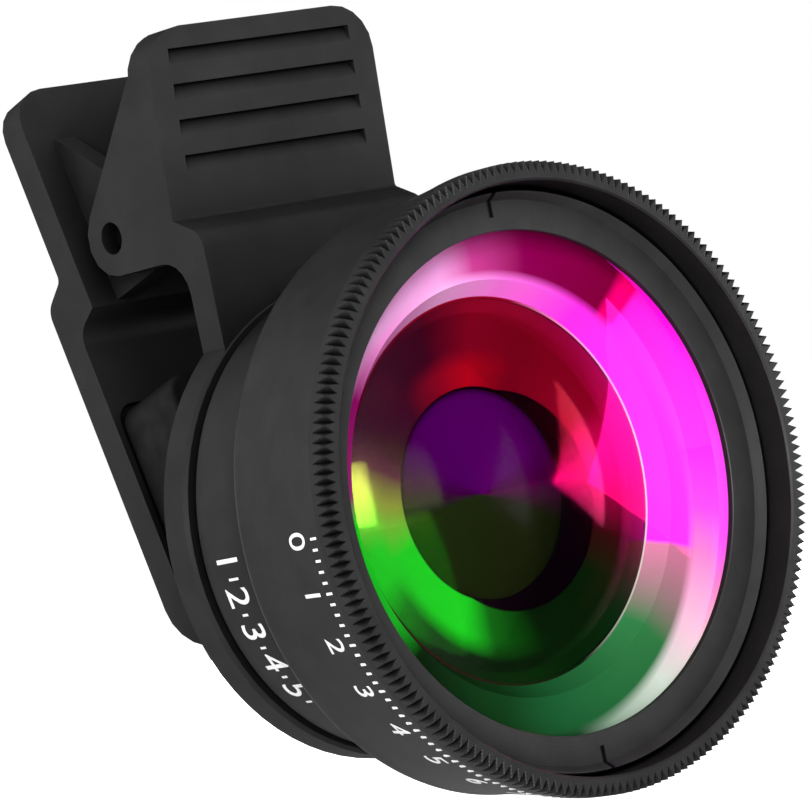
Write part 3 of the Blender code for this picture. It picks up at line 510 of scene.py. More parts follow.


# %% Colours of the coatings and of the painted reflections
MAGENTA, HOT_PINK, PALE_PINK = (1.0, 0.012, 0.85), (0.95, 0.0, 0.16), (1.0, 0.4, 0.85)
FUCHSIA, BRIGHT, ROSE = (1.0, 0.03, 0.95), (1.0, 0.1, 0.9), (0.65, 0.2, 0.35)
CRIMSON, DARK_RED, WINE = (0.26, 0.0, 0.015), (0.05, 0.0, 0.012), (0.04, 0.0, 0.015)
RED, SCARLET, DEEP_RED = (0.5, 0.0, 0.01), (1.0, 0.0, 0.2), (0.2, 0.0, 0.01)
PLUM, OLIVE, PALE_ROSE = (0.11, 0.0, 0.06), (0.34, 0.38, 0.05), (1.0, 0.7, 0.9)
GREEN, DEEP_GREEN, PALE_GREEN = (0.01, 0.78, 0.015), (0.004, 0.08, 0.012), (0.3, 0.55, 0.36)
BLACK_GREEN, EMBER, CLARET = (0.002, 0.014, 0.002), (0.03, 0.003, 0.004), (0.3, 0.0, 0.05)
VIOLET = (0.25, 0.1, 0.6)

# %% The big glass: coatings with painted tints, and painted reflections
# The front coat's tint is painted: magenta toward the upper left, hot pink round the rest.
front_coat_painted_tint = coating_with_painted_tint("front_coating_with_painted_tint", [
    (0, HOT_PINK), (0.4, MAGENTA), (0.7, HOT_PINK), (1, HOT_PINK)], 0.03, 0.14, 0.22)
# The hollow's tint is painted: crimson above, green at the left and below, hot pink at the right.
hollow_coat_painted_tint = coating_with_painted_tint("hollow_coating_with_painted_tint", [
    (0, HOT_PINK), (0.12, CRIMSON), (0.3, CRIMSON), (0.42, DARK_RED), (0.47, OLIVE), (0.54, GREEN),
    (0.7, GREEN), (0.78, DEEP_GREEN), (0.88, DARK_RED), (1, HOT_PINK)], 0.1, 0.12, 0.28)
# Painted reflections on the flange: magenta, pale pink and green zones round it, and a second set past its
# border.
flange_painted_reflections = painted_reflections("flange_painted_reflection_colours", [
    (0, FUCHSIA), (0.14, (1.0, 0.03, 0.8)), (0.22, (1.0, 0.2, 0.8)), (0.28, (1.0, 0.5, 0.9)),
    (0.36, (1.0, 0.3, 0.75)), (0.41, (0.3, 0.0, 0.14)), (0.48, (0.4, 0.02, 0.2)), (0.5, GREEN),
    (0.58, (0.01, 0.5, 0.02)), (0.61, BLACK_GREEN), (0.7, (0.005, 0.05, 0.01)),
    (0.75, (0.01, 0.11, 0.03)), (0.86, (0.03, 0.2, 0.06)), (0.89, (0.3, 0.2, 0.2)), (0.93, ROSE),
    (0.933, FUCHSIA), (1, FUCHSIA)], 0.4, [
    (0, (1.0, 0.06, 0.95)), (0.105, (1.0, 0.02, 0.8)), (0.108, SCARLET), (0.12, SCARLET),
    (0.123, (0.2, 0.0, 0.04)), (0.2, (0.25, 0.0, 0.08)), (0.25, (0.6, 0.05, 0.3)),
    (0.28, PALE_PINK), (0.36, (1.0, 0.5, 0.9)), (0.44, (0.5, 0.05, 0.3)), (0.5, (0.1, 0.3, 0.05)),
    (0.55, BLACK_GREEN), (0.7, (0.002, 0.01, 0.003)), (0.76, (0.01, 0.05, 0.02)),
    (0.79, (0.3, 0.45, 0.33)), (0.84, (0.75, 0.85, 0.75)), (0.89, (1.0, 0.6, 0.8)),
    (0.93, (1.0, 0.3, 0.7)), (0.96, BRIGHT), (1, (1.0, 0.04, 0.95))], (14.0, 14.7))
# Painted reflections on the glass's edge wall, with a pale band at its lower right.
wall_painted_reflections = painted_reflections("wall_painted_reflection_colours", [
    (0, BRIGHT), (0.08, MAGENTA), (0.15, MAGENTA), (0.2, CRIMSON), (0.3, (0.12, 0.0, 0.03)),
    (0.5, DEEP_GREEN), (0.7, DEEP_GREEN), (0.78, (0.004, 0.012, 0.004)), (0.84, PALE_GREEN),
    (0.88, (0.8, 0.7, 0.7)), (0.91, (1.0, 0.3, 0.6)), (0.94, (1.0, 0.12, 0.9)), (1, BRIGHT)], 0.3)
# Painted highlight: a pale line on the right of the hollow's rim, dark round the rest.
painted_edge_highlight = painted_reflections("painted_edge_highlight_line", [
    (0, PALE_ROSE), (0.1, (1.0, 0.4, 0.7)), (0.2, CRIMSON), (0.5, DARK_RED), (0.8, BLACK_GREEN),
    (0.9, (0.6, 0.6, 0.5)), (1, PALE_ROSE)], 0.2)

# %% Painted reflections behind it, and the macro glass's tinted coating
baffle_start = [(0, HOT_PINK), (0.06, CRIMSON), (0.17, DEEP_RED)]
baffle_end = [(0.88, BLACK_GREEN), (0.93, EMBER), (0.97, CLARET), (1, HOT_PINK)]
# Painted reflections on the front of the baffle's cone: red, plum and green round it.
baffle_painted_reflections = painted_reflections("baffle_painted_reflection_colours", baffle_start + [
    (0.24, RED), (0.3, CRIMSON), (0.36, WINE), (0.42, WINE), (0.45, PLUM), (0.49, OLIVE),
    (0.55, GREEN), (0.67, GREEN), (0.71, (0.005, 0.16, 0.006)),
    (0.78, BLACK_GREEN)] + baffle_end, 0.35, baffle_start + [
    (0.24, CRIMSON), (0.3, DARK_RED), (0.42, WINE), (0.45, PLUM), (0.48, OLIVE), (0.53, GREEN),
    (0.56, GREEN), (0.59, (0.005, 0.2, 0.006)), (0.63, BLACK_GREEN)] + baffle_end, (8.6, 9.8))
# Painted shade on the baffle: its opening gets a black lip, widest at the lower right.
painted_shade_lip(baffle_painted_reflections, 6.7, 1.9)
# Painted reflections for the glasses behind: violet above, dark green below.
violet_painted_reflections = painted_reflections("violet_painted_reflection_colours", [
    (0, (0.07, 0.0, 0.05)), (0.06, (0.1, 0.0, 0.13)), (0.4, (0.07, 0.0, 0.1)),
    (0.47, (0.04, 0.0, 0.04)), (0.52, (0.012, 0.02, 0.004)), (0.94, (0.012, 0.016, 0.004)),
    (1, (0.1, 0.0, 0.07))], 0.15)
clear_coat = coating_with_painted_tint("clear_coating", [
    (0, VIOLET), (0.3, (0.4, 0.1, 0.6)), (0.6, (0.15, 0.15, 0.55)), (1, VIOLET)], 0.06, 0.25, 0.6)
print("materials:", len(bpy.data.materials))

# %% [markdown]
# ## The two jaws
# The CAD jaws have the right shape, but their edges are perfectly sharp, and nothing moulded
# is. A copy of each mesh is welded, its flat areas are joined into single faces, and a small
# bevel rounds the edges so that they catch the light. The CAD object itself is never changed.
# The four thumb grooves of the real pad are scooped: a steep upper wall, and a floor that rises
# gently to the pad's face. The flat floors are cut into strips here and bent to that curve.

# %% Showing a piece
def show(name, mesh, body, replaced=()):
    """Puts a finished mesh into the scene, on its body, and hides the CAD pieces it replaces."""
    piece = linked(name, mesh)
    if body:
        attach(piece, body)
    if replaced:
        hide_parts(*replaced)
    print(name, len(mesh.polygons), "faces")
    return piece


def recoat(mesh, *finishes):
    """New materials in place of a mesh's own."""
    mesh.materials.clear()
    for finish in finishes:
        mesh.materials.append(finish)


def smooth(mesh, angle=35):
    """Smooth shading with sharp edges kept above an angle."""
    for face in mesh.polygons:
        face.use_smooth = True
    mesh.set_sharp_from_angle(angle=math.radians(angle))


# %% Thumb grooves
GROOVE_WIDTH, GROOVE_DEPTH, GROOVE_END = 1.05, 0.55, 7.55
GROOVE_CUTS, SCOOP_POWER, WELD = 6, 1.4, 0.004


def scoop_grooves(grid):
    """Let the flat floor of each thumb groove rise to the pad's face along its lower edge."""
    floors = [face for face in grid.faces if len(face.verts) == 4 and face.normal.y < -0.9
              and abs(face.calc_area() / MM ** 2 - 2 * GROOVE_END * GROOVE_WIDTH) < 0.5]
    for face in floors:
        out, middle = face.normal.copy(), face.calc_center_median()
        up = Vector((1, 0, 0)).cross(out)
        up *= 1 if up.z > 0 else -1
        ends = [edge for edge in face.edges if abs(edge.verts[0].co.x - edge.verts[1].co.x) < 0.1 * MM]
        bmesh.ops.subdivide_edges(grid, edges=ends, cuts=GROOVE_CUTS, use_grid_fill=True)
        for point in grid.verts:
            away = point.co - middle
            share = away.dot(up) / (GROOVE_WIDTH * MM) + 0.5
            on_floor = abs(away.dot(out)) < 0.002 * MM and abs(away.x) < (GROOVE_END + 0.1) * MM
            if on_floor and -0.01 < share < 1.01:
                point.co += out * GROOVE_DEPTH * MM * (1 - max(0, share) ** SCOOP_POWER)
    bmesh.ops.remove_doubles(grid, verts=grid.verts, dist=WELD * MM)
    print("scooped", len(floors), "grooves")


# %% Easing the edges of a CAD copy
def eased_copy(node, width, finish, steps=2, reshape=None):
    """A copy of a CAD node's mesh with its edges rounded."""
    grid = bmesh.new()
    grid.from_mesh(nodes[node].data)
    bmesh.ops.remove_doubles(grid, verts=grid.verts, dist=WELD * MM)
    bmesh.ops.dissolve_limit(grid, angle_limit=math.radians(1), verts=grid.verts, edges=grid.edges)
    if reshape:
        reshape(grid)
    mesh = poured(grid, node + "_copy")
    smooth(mesh, 60)
    holder = linked(node + "_copy", mesh)
    bevel = holder.modifiers.new("edges", "BEVEL")
    bevel.width = width * MM
    bevel.segments = steps
    bevel.limit_method = "ANGLE"
    bevel.angle_limit = math.radians(30)
    bevel.use_clamp_overlap = True
    even = holder.modifiers.new("flat_areas", "WEIGHTED_NORMAL")
    even.weight = 100
    even.keep_sharp = True
    eased = harvest(holder)
    recoat(eased, finish)
    return eased


for jaw, reshape in (("front_jaw", scoop_grooves), ("rear_jaw", None)):
    mesh = eased_copy(jaw, 0.12, clip_plastic, reshape=reshape)
    show(jaw + "_moulding", mesh, jaw, (jaw,))

# %% [markdown]
# ## Turned pieces
# Everything in a lens is turned on a lathe, so one helper makes them all: a profile of (radius,
# depth) points, swept round the lens axis. Depth is measured forwards from the phone's face.
# Corners of a profile are replaced by small arcs first, because a real turned edge is broken.

# %% Lathe helpers
def arcs(profile, radius, steps=3):
    """The profile with each corner rounded, apart from the ends."""
    rounded = [profile[0]]
    for index in range(1, len(profile) - 1):
        before, corner, after = (Vector(profile[index + shift]) for shift in (-1, 0, 1))
        reach = min(radius, (before - corner).length / 2.1, (after - corner).length / 2.1)
        if reach < 0.005:
            rounded.append(tuple(corner))
            continue
        start_point = corner + (before - corner).normalized() * reach
        end_point = corner + (after - corner).normalized() * reach
        for step in range(steps + 1):
            share = step / steps
            blend = start_point.lerp(corner, share).lerp(corner.lerp(end_point, share), share)
            rounded.append(tuple(blend))
    rounded.append(profile[-1])
    return rounded


def on_lathe(radius, depth, angle):
    """A place in metres from a radius and a depth in millimetres and an angle round the axis."""
    return (radius * MM * math.cos(angle), -depth * MM, radius * MM * math.sin(angle))


def lathe(name, profile, steps, *finishes):
    """A mesh turned about the lens axis from (radius, depth) points in millimetres."""
    corners, faces, rows = [], [], []
    for radius, depth in profile:
        if radius == 0:
            rows.append([len(corners)] * steps)
            corners.append((0, -depth * MM, 0))
            continue
        rows.append(range(len(corners), len(corners) + steps))
        corners += [on_lathe(radius, depth, 2 * math.pi * step / steps) for step in range(steps)]
    pairs = list(zip(rows, rows[1:]))
    if profile[0][0] > 0:
        pairs.append((rows[-1], rows[0]))
    for near, far in pairs:
        for step in range(steps):
            following = (step + 1) % steps
            loop = list(dict.fromkeys((near[step], near[following], far[following], far[step])))
            if len(loop) > 2:
                faces.append(loop)
    mesh = bpy.data.meshes.new(name)
    mesh.from_pydata(corners, [], faces)
    grid = bmesh.new()
    grid.from_mesh(mesh)
    bmesh.ops.recalc_face_normals(grid, faces=grid.faces)
    grid.to_mesh(mesh)
    grid.free()
    recoat(mesh, *finishes)
    smooth(mesh)
    return mesh


def sag(curve, radius):
    """How far a sphere falls away at a distance from its axis."""
    return curve - math.sqrt(curve * curve - radius * radius)


def dome(curve, radius, vertex, steps=24):
    """Points of a glass surface from the axis outwards."""
    return [(radius * step / steps, vertex - sag(curve, radius * step / steps))
            for step in range(steps + 1)]


# %% [markdown]
# ### Geometry Nodes in a script
# A node tree is a recipe with named inputs. The helper below makes an empty one with those
# inputs and outputs, and the next one runs it once on a mesh and keeps the result as a plain
# mesh, so nothing live is left on the object.

# %% Geometry Nodes helpers
class Recipe:
    """A Geometry Nodes tree that is built node by node."""

    def __init__(self, name, **inputs):
        self.tree = bpy.data.node_groups.new(name, "GeometryNodeTree")
        face = self.tree.interface
        face.new_socket("Geometry", in_out="INPUT", socket_type="NodeSocketGeometry")
        self.names = {}
        for label, value in inputs.items():
            kinds = {int: "NodeSocketInt", float: "NodeSocketFloat", str: "NodeSocketMaterial"}
            socket = face.new_socket(label, in_out="INPUT", socket_type=kinds[type(value)])
            self.names[label] = socket.identifier
            if type(value) is not str:
                socket.default_value = value
        face.new_socket("Geometry", in_out="OUTPUT", socket_type="NodeSocketGeometry")
        self.source = self.tree.nodes.new("NodeGroupInput")
        self.target = self.tree.nodes.new("NodeGroupOutput")

    def value(self, label):
        return self.source.outputs[label]

    def node(self, kind, settings=None, **inputs):
        made = self.tree.nodes.new(kind)
        for key, setting in (settings or {}).items():
            setattr(made, key, setting)
        return fill(self.tree, made, **inputs)

    def math(self, operation, *values):
        return compute(self.tree, operation, *values)

    def finish(self, geometry):
        """Realize Instances and Set Material close every recipe."""
        real = self.node("GeometryNodeRealizeInstances", Geometry=geometry)
        dressed = self.node("GeometryNodeSetMaterial", Geometry=real.outputs[0],
                            Material=self.value("Finish"))
        self.tree.links.new(dressed.outputs[0], self.target.inputs["Geometry"])

    def cook(self, mesh, **values):
        """The mesh that the recipe makes of a mesh with these inputs."""
        holder = linked("cooking", mesh)
        modifier = holder.modifiers.new("recipe", "NODES")
        modifier.node_group = self.tree
        for label, value in values.items():
            modifier[self.names[label]] = value
        return harvest(holder)


# %% [markdown]
# ### The notched rim
# The rim's outer corner is cut by two hundred V-shaped notches. Instead of cutting, the rule is
# written down: at each angle the V has a height above its bottom line, and any point of the
# corner that stands higher is moved down onto it. The ring needs eight columns of points for
# each tooth, so that the slopes of the V come out straight.

# %% Notch recipe
TEETH = 200
RIM, RIM_RADIUS, RIM_BORE = 22.35, 19.5, 18.3
NOTCH_FACE, NOTCH_SIDE, NOTCH_OPENING = 0.75, 1.1, 1.02

notches = Recipe("Notches", Teeth=TEETH, Rim=RIM * MM, Radius=RIM_RADIUS * MM,
                 Face_reach=NOTCH_FACE * MM, Side_reach=NOTCH_SIDE * MM, Opening=NOTCH_OPENING,
                 Finish="")
position = notches.node("GeometryNodeInputPosition").outputs[0]
xyz = notches.node("ShaderNodeSeparateXYZ", Vector=position)
x, y, z = (xyz.outputs[axis] for axis in "XYZ")
flat = notches.node("ShaderNodeCombineXYZ", X=x, Z=z)
out, heading = (notches.node("ShaderNodeVectorMath", {"operation": job}, Vector=flat.outputs[0])
                for job in ("LENGTH", "NORMALIZE"))
calc = notches.math
turns = calc("DIVIDE", calc("ARCTAN2", z, x), 2 * math.pi)
phase = calc("FRACT", calc("MULTIPLY", turns, notches.value("Teeth")))
off_centre = calc("MULTIPLY", calc("ABSOLUTE", calc("SUBTRACT", phase, 0.5)), 2.0)
face_reach, side_reach = notches.value("Face_reach"), notches.value("Side_reach")
slope = calc("SQRT", calc("ADD", calc("MULTIPLY", face_reach, face_reach),
                          calc("MULTIPLY", side_reach, side_reach)))
outward = calc("DIVIDE", side_reach, slope)
forward = calc("DIVIDE", face_reach, slope)
full = calc("MULTIPLY", face_reach, outward)
beyond = calc("SUBTRACT", out.outputs["Value"], calc("SUBTRACT", notches.value("Radius"), face_reach))
ahead = calc("SUBTRACT", calc("MULTIPLY", y, -1.0), notches.value("Rim"))
height = calc("ADD", calc("MULTIPLY", beyond, outward), calc("MULTIPLY", ahead, forward))
roof = calc("DIVIDE", calc("MULTIPLY", full, off_centre), notches.value("Opening"))
excess = calc("MAXIMUM", calc("SUBTRACT", height, roof), 0.0)
inwards = calc("MULTIPLY", calc("MULTIPLY", excess, outward), -1.0)
backwards = calc("MULTIPLY", excess, forward)
shift_out = notches.node("ShaderNodeVectorMath", {"operation": "SCALE"},
                         Vector=heading.outputs[0], Scale=inwards)
shift_back = notches.node("ShaderNodeCombineXYZ", Y=backwards)
shift = notches.node("ShaderNodeVectorMath", {"operation": "ADD"})
notches.tree.links.new(shift_out.outputs[0], shift.inputs[0])
notches.tree.links.new(shift_back.outputs[0], shift.inputs[1])
cut = notches.node("GeometryNodeSetPosition", Geometry=notches.value("Geometry"),
                   Offset=shift.outputs[0])
notches.finish(cut.outputs[0])
print("the notch recipe has", len(notches.tree.nodes), "nodes")

# %% The crown with its teeth
COLUMNS = 8
CROWN_BACK = RIM - NOTCH_SIDE - 0.35
face_rows = [(RIM_RADIUS - NOTCH_FACE * (1 - step / COLUMNS * 2), RIM) for step in range(COLUMNS // 2)]
side_rows = [(RIM_RADIUS, RIM - NOTCH_SIDE * step / COLUMNS * 2) for step in range(COLUMNS // 2 + 1)]
crown_profile = [(RIM_BORE, CROWN_BACK), (RIM_BORE, RIM - 0.12), (RIM_BORE + 0.12, RIM)]
crown_profile += face_rows + side_rows + [(RIM_RADIUS, CROWN_BACK)]
crown = lathe("crown", crown_profile, TEETH * COLUMNS)
crown = notches.cook(crown, Finish=barrel_black)
smooth(crown, 25)
print("crown:", TEETH, "teeth,", len(crown.polygons), "faces")

# %% [markdown]
# ### The wide barrel
# The barrel's side flares a little towards the rim, a power curve from the rounded shoulder.
# The tail behind the shoulder carries the thread, and inside are the seats for the glass.

# %% Wide barrel
SHOULDER, SHOULDER_RADIUS, SHOULDER_ROUND = 12.15, 18.65, 0.7
FLARE, FLARE_POWER, SIDE_STEPS, ROUND_STEPS = 0.85, 1.4, 24, 8
TAIL_END, TAIL_RADIUS = 8.95, 11.0
BAFFLE_RADIUS, REAR_BORE, GLASS_SEAT, SHELF, RING_STEP = 13.3, 9.2, 17.45, 15.73, 17.6
CHAMFER = 0.08


def barrel_radius(depth):
    """Radius of the wide barrel's side at a depth."""
    foot = SHOULDER + SHOULDER_ROUND
    top = RIM - NOTCH_SIDE - 0.25
    share = min(max((depth - foot) / (top - foot), 0), 1)
    return SHOULDER_RADIUS + FLARE * share ** FLARE_POWER


side_length = CROWN_BACK - SHOULDER - SHOULDER_ROUND
side_depths = [CROWN_BACK - side_length * step / SIDE_STEPS for step in range(SIDE_STEPS + 1)]
side = [(barrel_radius(depth), depth) for depth in side_depths]
for step in range(1, ROUND_STEPS + 1):
    bend = math.radians(90 * step / ROUND_STEPS)
    side.append((SHOULDER_RADIUS - SHOULDER_ROUND * (1 - math.cos(bend)),
                 SHOULDER + SHOULDER_ROUND * (1 - math.sin(bend))))
tail = arcs([
    (TAIL_RADIUS + 1, SHOULDER), (TAIL_RADIUS - 0.4, SHOULDER), (TAIL_RADIUS - 0.4, SHOULDER - 0.4),
    (TAIL_RADIUS - 0.28, SHOULDER - 0.6), (TAIL_RADIUS - 0.28, TAIL_END + 0.2),
    (TAIL_RADIUS - 0.4, TAIL_END),
    (REAR_BORE, TAIL_END), (REAR_BORE, TAIL_END + 4.2), (BAFFLE_RADIUS + 0.3, SHELF),
    (GLASS_SEAT, SHELF), (GLASS_SEAT, RING_STEP), (RIM_BORE, RING_STEP), (RIM_BORE, CROWN_BACK + 0.1),
], CHAMFER)
barrel = lathe("wide_barrel_body", side + tail, 256, barrel_black)
print("barrel:", len(barrel.polygons), "faces")

# %% [markdown]
# ### Threads
# A thread is a triangle drawn along a spiral. Curve to Mesh does the drawing, and the spiral
# lies round Z in Blender, so the last step turns it to the lens axis.

# %% Thread recipe
threads = Recipe("Thread", Radius=11.0 * MM, Pitch=0.5 * MM, Turns=5.0, Tooth=0.25 * MM,
                 Back=9.0 * MM, Finish="")
thread_length = threads.math("MULTIPLY", threads.value("Turns"), threads.value("Pitch"))
spiral = threads.node("GeometryNodeCurveSpiral", Resolution=96, Rotations=threads.value("Turns"),
                      Start_Radius=threads.value("Radius"), End_Radius=threads.value("Radius"),
                      Height=thread_length)
tooth = threads.node("GeometryNodeCurvePrimitiveCircle", Resolution=3, Radius=threads.value("Tooth"))
swept = threads.node("GeometryNodeCurveToMesh", Curve=spiral.outputs[0], Profile_Curve=tooth.outputs[0])
swept.inputs["Fill Caps"].default_value = True
back = threads.node("ShaderNodeCombineXYZ", Y=threads.math("MULTIPLY", threads.value("Back"), -1.0))
laid = threads.node("GeometryNodeTransform", Geometry=swept.outputs[0], Translation=back.outputs[0],
                    Rotation=(math.radians(90), 0, 0))
threads.finish(laid.outputs[0])
THREAD_TOOTH = 0.28


def thread(radius, turns, back_depth):
    """A thread that starts at a depth and runs forwards."""
    made = threads.cook(bpy.data.meshes.new("seed"), Radius=radius * MM, Turns=turns,
                        Tooth=THREAD_TOOTH * MM, Back=back_depth * MM, Finish=lathe_black)
    for face in made.polygons:
        face.use_smooth = False
    print("thread of", turns, "turns,", len(made.polygons), "faces")
    return made


# %% Joining a barrel, its crown and its thread
def merged(name, parts):
    """One mesh out of several, with the materials of all."""
    grid = bmesh.new()
    slots = []
    for part in parts:
        offset = len(grid.faces)
        grid.from_mesh(part)
        grid.faces.ensure_lookup_table()
        for face in grid.faces[offset:]:
            material = part.materials[face.material_index]
            if material not in slots:
                slots.append(material)
            face.material_index = slots.index(material)
    mesh = poured(grid, name)
    for material in slots:
        mesh.materials.append(material)
    return mesh


tail_thread = thread(TAIL_RADIUS - 0.24, 4.0, TAIL_END + 0.45)
wide = merged("wide_barrel_turned", [barrel, crown, tail_thread])
show("wide_barrel_turned", wide, "wide_lens", ("wide_barrel",))

# %% [markdown]
# ### The macro barrel
# Shorter and plainer: a cylinder with broken edges, a neck with its own thread that goes into
# the clip, and a socket in front for the wide barrel's tail.

# %% Macro barrel
MACRO_FRONT, MACRO_BACK, MACRO_RADIUS = 11.85, 3.95, 15.05
SOCKET_FLOOR, SOCKET_RADIUS = 8.65, 11.3
NECK_RADIUS, NECK_END, MACRO_BORE, LIP_RADIUS = 8.0, 1.35, 7.3, 5.6
macro_profile = arcs([
    (SOCKET_RADIUS + 2, MACRO_FRONT), (MACRO_RADIUS, MACRO_FRONT), (MACRO_RADIUS, MACRO_BACK),
    (NECK_RADIUS - 0.28, MACRO_BACK), (NECK_RADIUS - 0.28, NECK_END), (LIP_RADIUS, NECK_END),
    (LIP_RADIUS, NECK_END + 1.0), (MACRO_BORE, NECK_END + 1.0), (MACRO_BORE, SOCKET_FLOOR),
    (SOCKET_RADIUS, SOCKET_FLOOR), (SOCKET_RADIUS, MACRO_FRONT - 0.3),
    (SOCKET_RADIUS + 0.3, MACRO_FRONT),
], 0.22)
macro = lathe("macro_barrel_body", macro_profile, 256, barrel_black)
neck_thread = thread(NECK_RADIUS - 0.24, 3.0, NECK_END + 0.45)
macro = merged("macro_barrel_turned", [macro, neck_thread])
show("macro_barrel_turned", macro, "macro_lens", ("macro_barrel",))

# %% [markdown]
# ### Rings inside
# The flat retaining ring has a bevel outside and two slots for a spanner. The slots are real
# gaps: two thin boxes are cut out of the turned ring with the Boolean modifier.

# %% Cutting slots
def slotted(mesh, boxes):
    """The mesh with boxes, given as centre and size in millimetres, cut out of it."""
    holder = linked("to_cut", mesh)
    tools = []
    for centre, size in boxes:
        grid = bmesh.new()
        place = Matrix.Translation(Vector(centre) * MM) @ Matrix.Diagonal((*(Vector(size) * MM), 1))
        bmesh.ops.create_cube(grid, size=1, matrix=place)
        tools.append(linked("tool", poured(grid, "tool")))
        cut = holder.modifiers.new("slot", "BOOLEAN")
        cut.operation = "DIFFERENCE"
        cut.object = tools[-1]
    return harvest(holder, *tools)


# %% Retaining ring
VIEW_RADIUS, RING_FACE, RING_FLAT, RING_OUTER = 15.63, 19.75, 17.5, 18.0
RING_BACK, RING_UNDERSIDE = 17.9, 18.73
SLOT_PLACE, SLOT_SIZE = (-20.1, 17.6), (0.35, 1.2, 2.2)
ring_profile = [
    (VIEW_RADIUS, RING_FACE - 0.45), (VIEW_RADIUS, RING_FACE - 0.05), (VIEW_RADIUS + 0.05, RING_FACE),
    (RING_FLAT, RING_FACE), (17.875, RING_FACE + 0.62), (17.93, RING_FACE + 0.65),
    (RING_OUTER, RING_FACE + 0.6), (RING_OUTER, RING_BACK), (GLASS_SEAT, RING_BACK),
    (GLASS_SEAT, RING_UNDERSIDE),
]
ring = lathe("front_ring_turned", ring_profile, 240)
ring = slotted(ring, [((0, SLOT_PLACE[0], sign * SLOT_PLACE[1]), SLOT_SIZE) for sign in (-1, 1)])
smooth(ring, 30)
recoat(ring, lathe_black)
show("front_ring_turned", ring, "wide_lens", ("front_retaining_ring",))

# %% [markdown]
# ## The glasses
# The big glass is a meniscus: a shallow dome in front and a deep hollow behind, with a flat
# flange round the hollow. The dome and the hollow have coatings with painted tints, the flange
# and the edge wall painted reflections. The rim of the hollow lies behind the flange, at the foot
# of a short cone, because that is where its circle stands in the photograph, and a narrow ring of
# its own finish draws it as a painted highlight: a thin bright line at its right.

# %% Front glass
GLASS_FRONT, GLASS_RADIUS, GLASS_CURVE = 21.7, 17.15, 46.6
HOLLOW_RADIUS, HOLLOW_CURVE, HOLLOW_RIM, GLASS_BACK = 12.0, 20.0, 15.55, 16.83
front_dome = dome(GLASS_CURVE, GLASS_RADIUS, GLASS_FRONT, 40)
hollow = dome(HOLLOW_CURVE, HOLLOW_RADIUS, HOLLOW_RIM + sag(HOLLOW_CURVE, HOLLOW_RADIUS), 40)
RIM_LINE = 0.14
flange = [(GLASS_RADIUS, GLASS_BACK), (HOLLOW_RADIUS + 1, GLASS_BACK),
          (HOLLOW_RADIUS + RIM_LINE, HOLLOW_RIM)]
glass = lathe("front_glass", front_dome + flange + hollow[::-1], 192, front_coat_painted_tint, hollow_coat_painted_tint,
              flange_painted_reflections, wall_painted_reflections, painted_edge_highlight)
for face in glass.polygons:
    out = math.hypot(face.center.x, face.center.z) / MM
    depth = -face.center.y / MM
    if face.normal.y < -0.5 and depth > GLASS_FRONT - sag(GLASS_CURVE, GLASS_RADIUS) - 0.05:
        face.material_index = 0
    elif out < HOLLOW_RADIUS - 0.01:
        face.material_index = 1
    elif out < HOLLOW_RADIUS + RIM_LINE:
        face.material_index = 4
    elif out < GLASS_RADIUS - 0.01:
        face.material_index = 2
    else:
        face.material_index = 3
show("front_glass", glass, "wide_lens", ("front_element",))

# %% [markdown]
# Behind the glass sits a black cone with ledges, which catches stray light. Each ledge is a
# small undercut step, so the cone reads as fine rings. The gasket under the glass is a flat
# ring of rubber.

# %% Baffle and gasket
REAR_CLEAR, REAR_GLASS_RADIUS = 7.6, 8.9
GASKET_BACK, GASKET_MIDDLE, GASKET_FRONT, GASKET_INNER = 16.03, 16.3, 16.53, 15.35
OPENING, OPENING_FRONT, OPENING_BACK = 6.6, 13.8, 13.6
CONE_TOP, CONE_DEPTH, CONE_LIP, BAFFLE_BACK = 12.0, 15.35, 12.9, 12.85
LEDGES, LEDGE_WIDTH, LEDGE_DROP = 12, 0.2, 0.02
baffle_steps = [
    (CONE_TOP, CONE_DEPTH), (CONE_LIP, GASKET_FRONT), (BAFFLE_RADIUS, GASKET_FRONT),
    (BAFFLE_RADIUS, GASKET_BACK), (REAR_GLASS_RADIUS, 13.15), (REAR_GLASS_RADIUS, BAFFLE_BACK),
    (REAR_CLEAR, BAFFLE_BACK), (OPENING, OPENING_BACK), (OPENING, OPENING_FRONT)]
for step in range(1, LEDGES):
    share = step / LEDGES
    inner = OPENING + (CONE_TOP - OPENING) * share
    height = OPENING_FRONT + (CONE_DEPTH - OPENING_FRONT) * share
    baffle_steps += [(inner - LEDGE_WIDTH, height - LEDGE_DROP), (inner, height)]
baffle = lathe("stepped_baffle", baffle_steps, 160, pin_black, baffle_painted_reflections)
# The cone's front faces carry the painted reflections; its other faces are blackened.
for face in baffle.polygons:
    out = math.hypot(face.center.x, face.center.z) / MM
    face.material_index = 1 if face.normal.y < -0.5 and OPENING + 0.1 < out < 12.35 else 0
show("stepped_baffle", baffle, "wide_lens", ("light_baffle",))

gasket_profile = arcs([
    (GASKET_INNER, GASKET_MIDDLE), (GASKET_INNER, GASKET_FRONT), (GLASS_RADIUS, GASKET_FRONT),
    (GLASS_RADIUS, GASKET_BACK), (GASKET_INNER, GASKET_BACK)], CHAMFER)
gasket = lathe("gasket_ring", gasket_profile, 96, soft_rubber)
show("gasket_ring", gasket, "wide_lens", ("front_gasket",))

# %% Rear group
GROUP_FRONT, GROUP_THICK, FRONT_CURVE, BACK_CURVE = 12.55, 1.2, 30, 45
group_back = GROUP_FRONT - GROUP_THICK
middle_profile = dome(FRONT_CURVE, REAR_CLEAR, GROUP_FRONT + sag(FRONT_CURVE, REAR_CLEAR))
middle_profile += [(REAR_GLASS_RADIUS, GROUP_FRONT), (REAR_GLASS_RADIUS, group_back)]
middle_profile += dome(BACK_CURVE, REAR_CLEAR, group_back + sag(BACK_CURVE, REAR_CLEAR))[::-1]
middle = lathe("middle_glass", middle_profile, 128, violet_painted_reflections)
show("middle_glass", middle, "wide_lens", ("middle_element",))

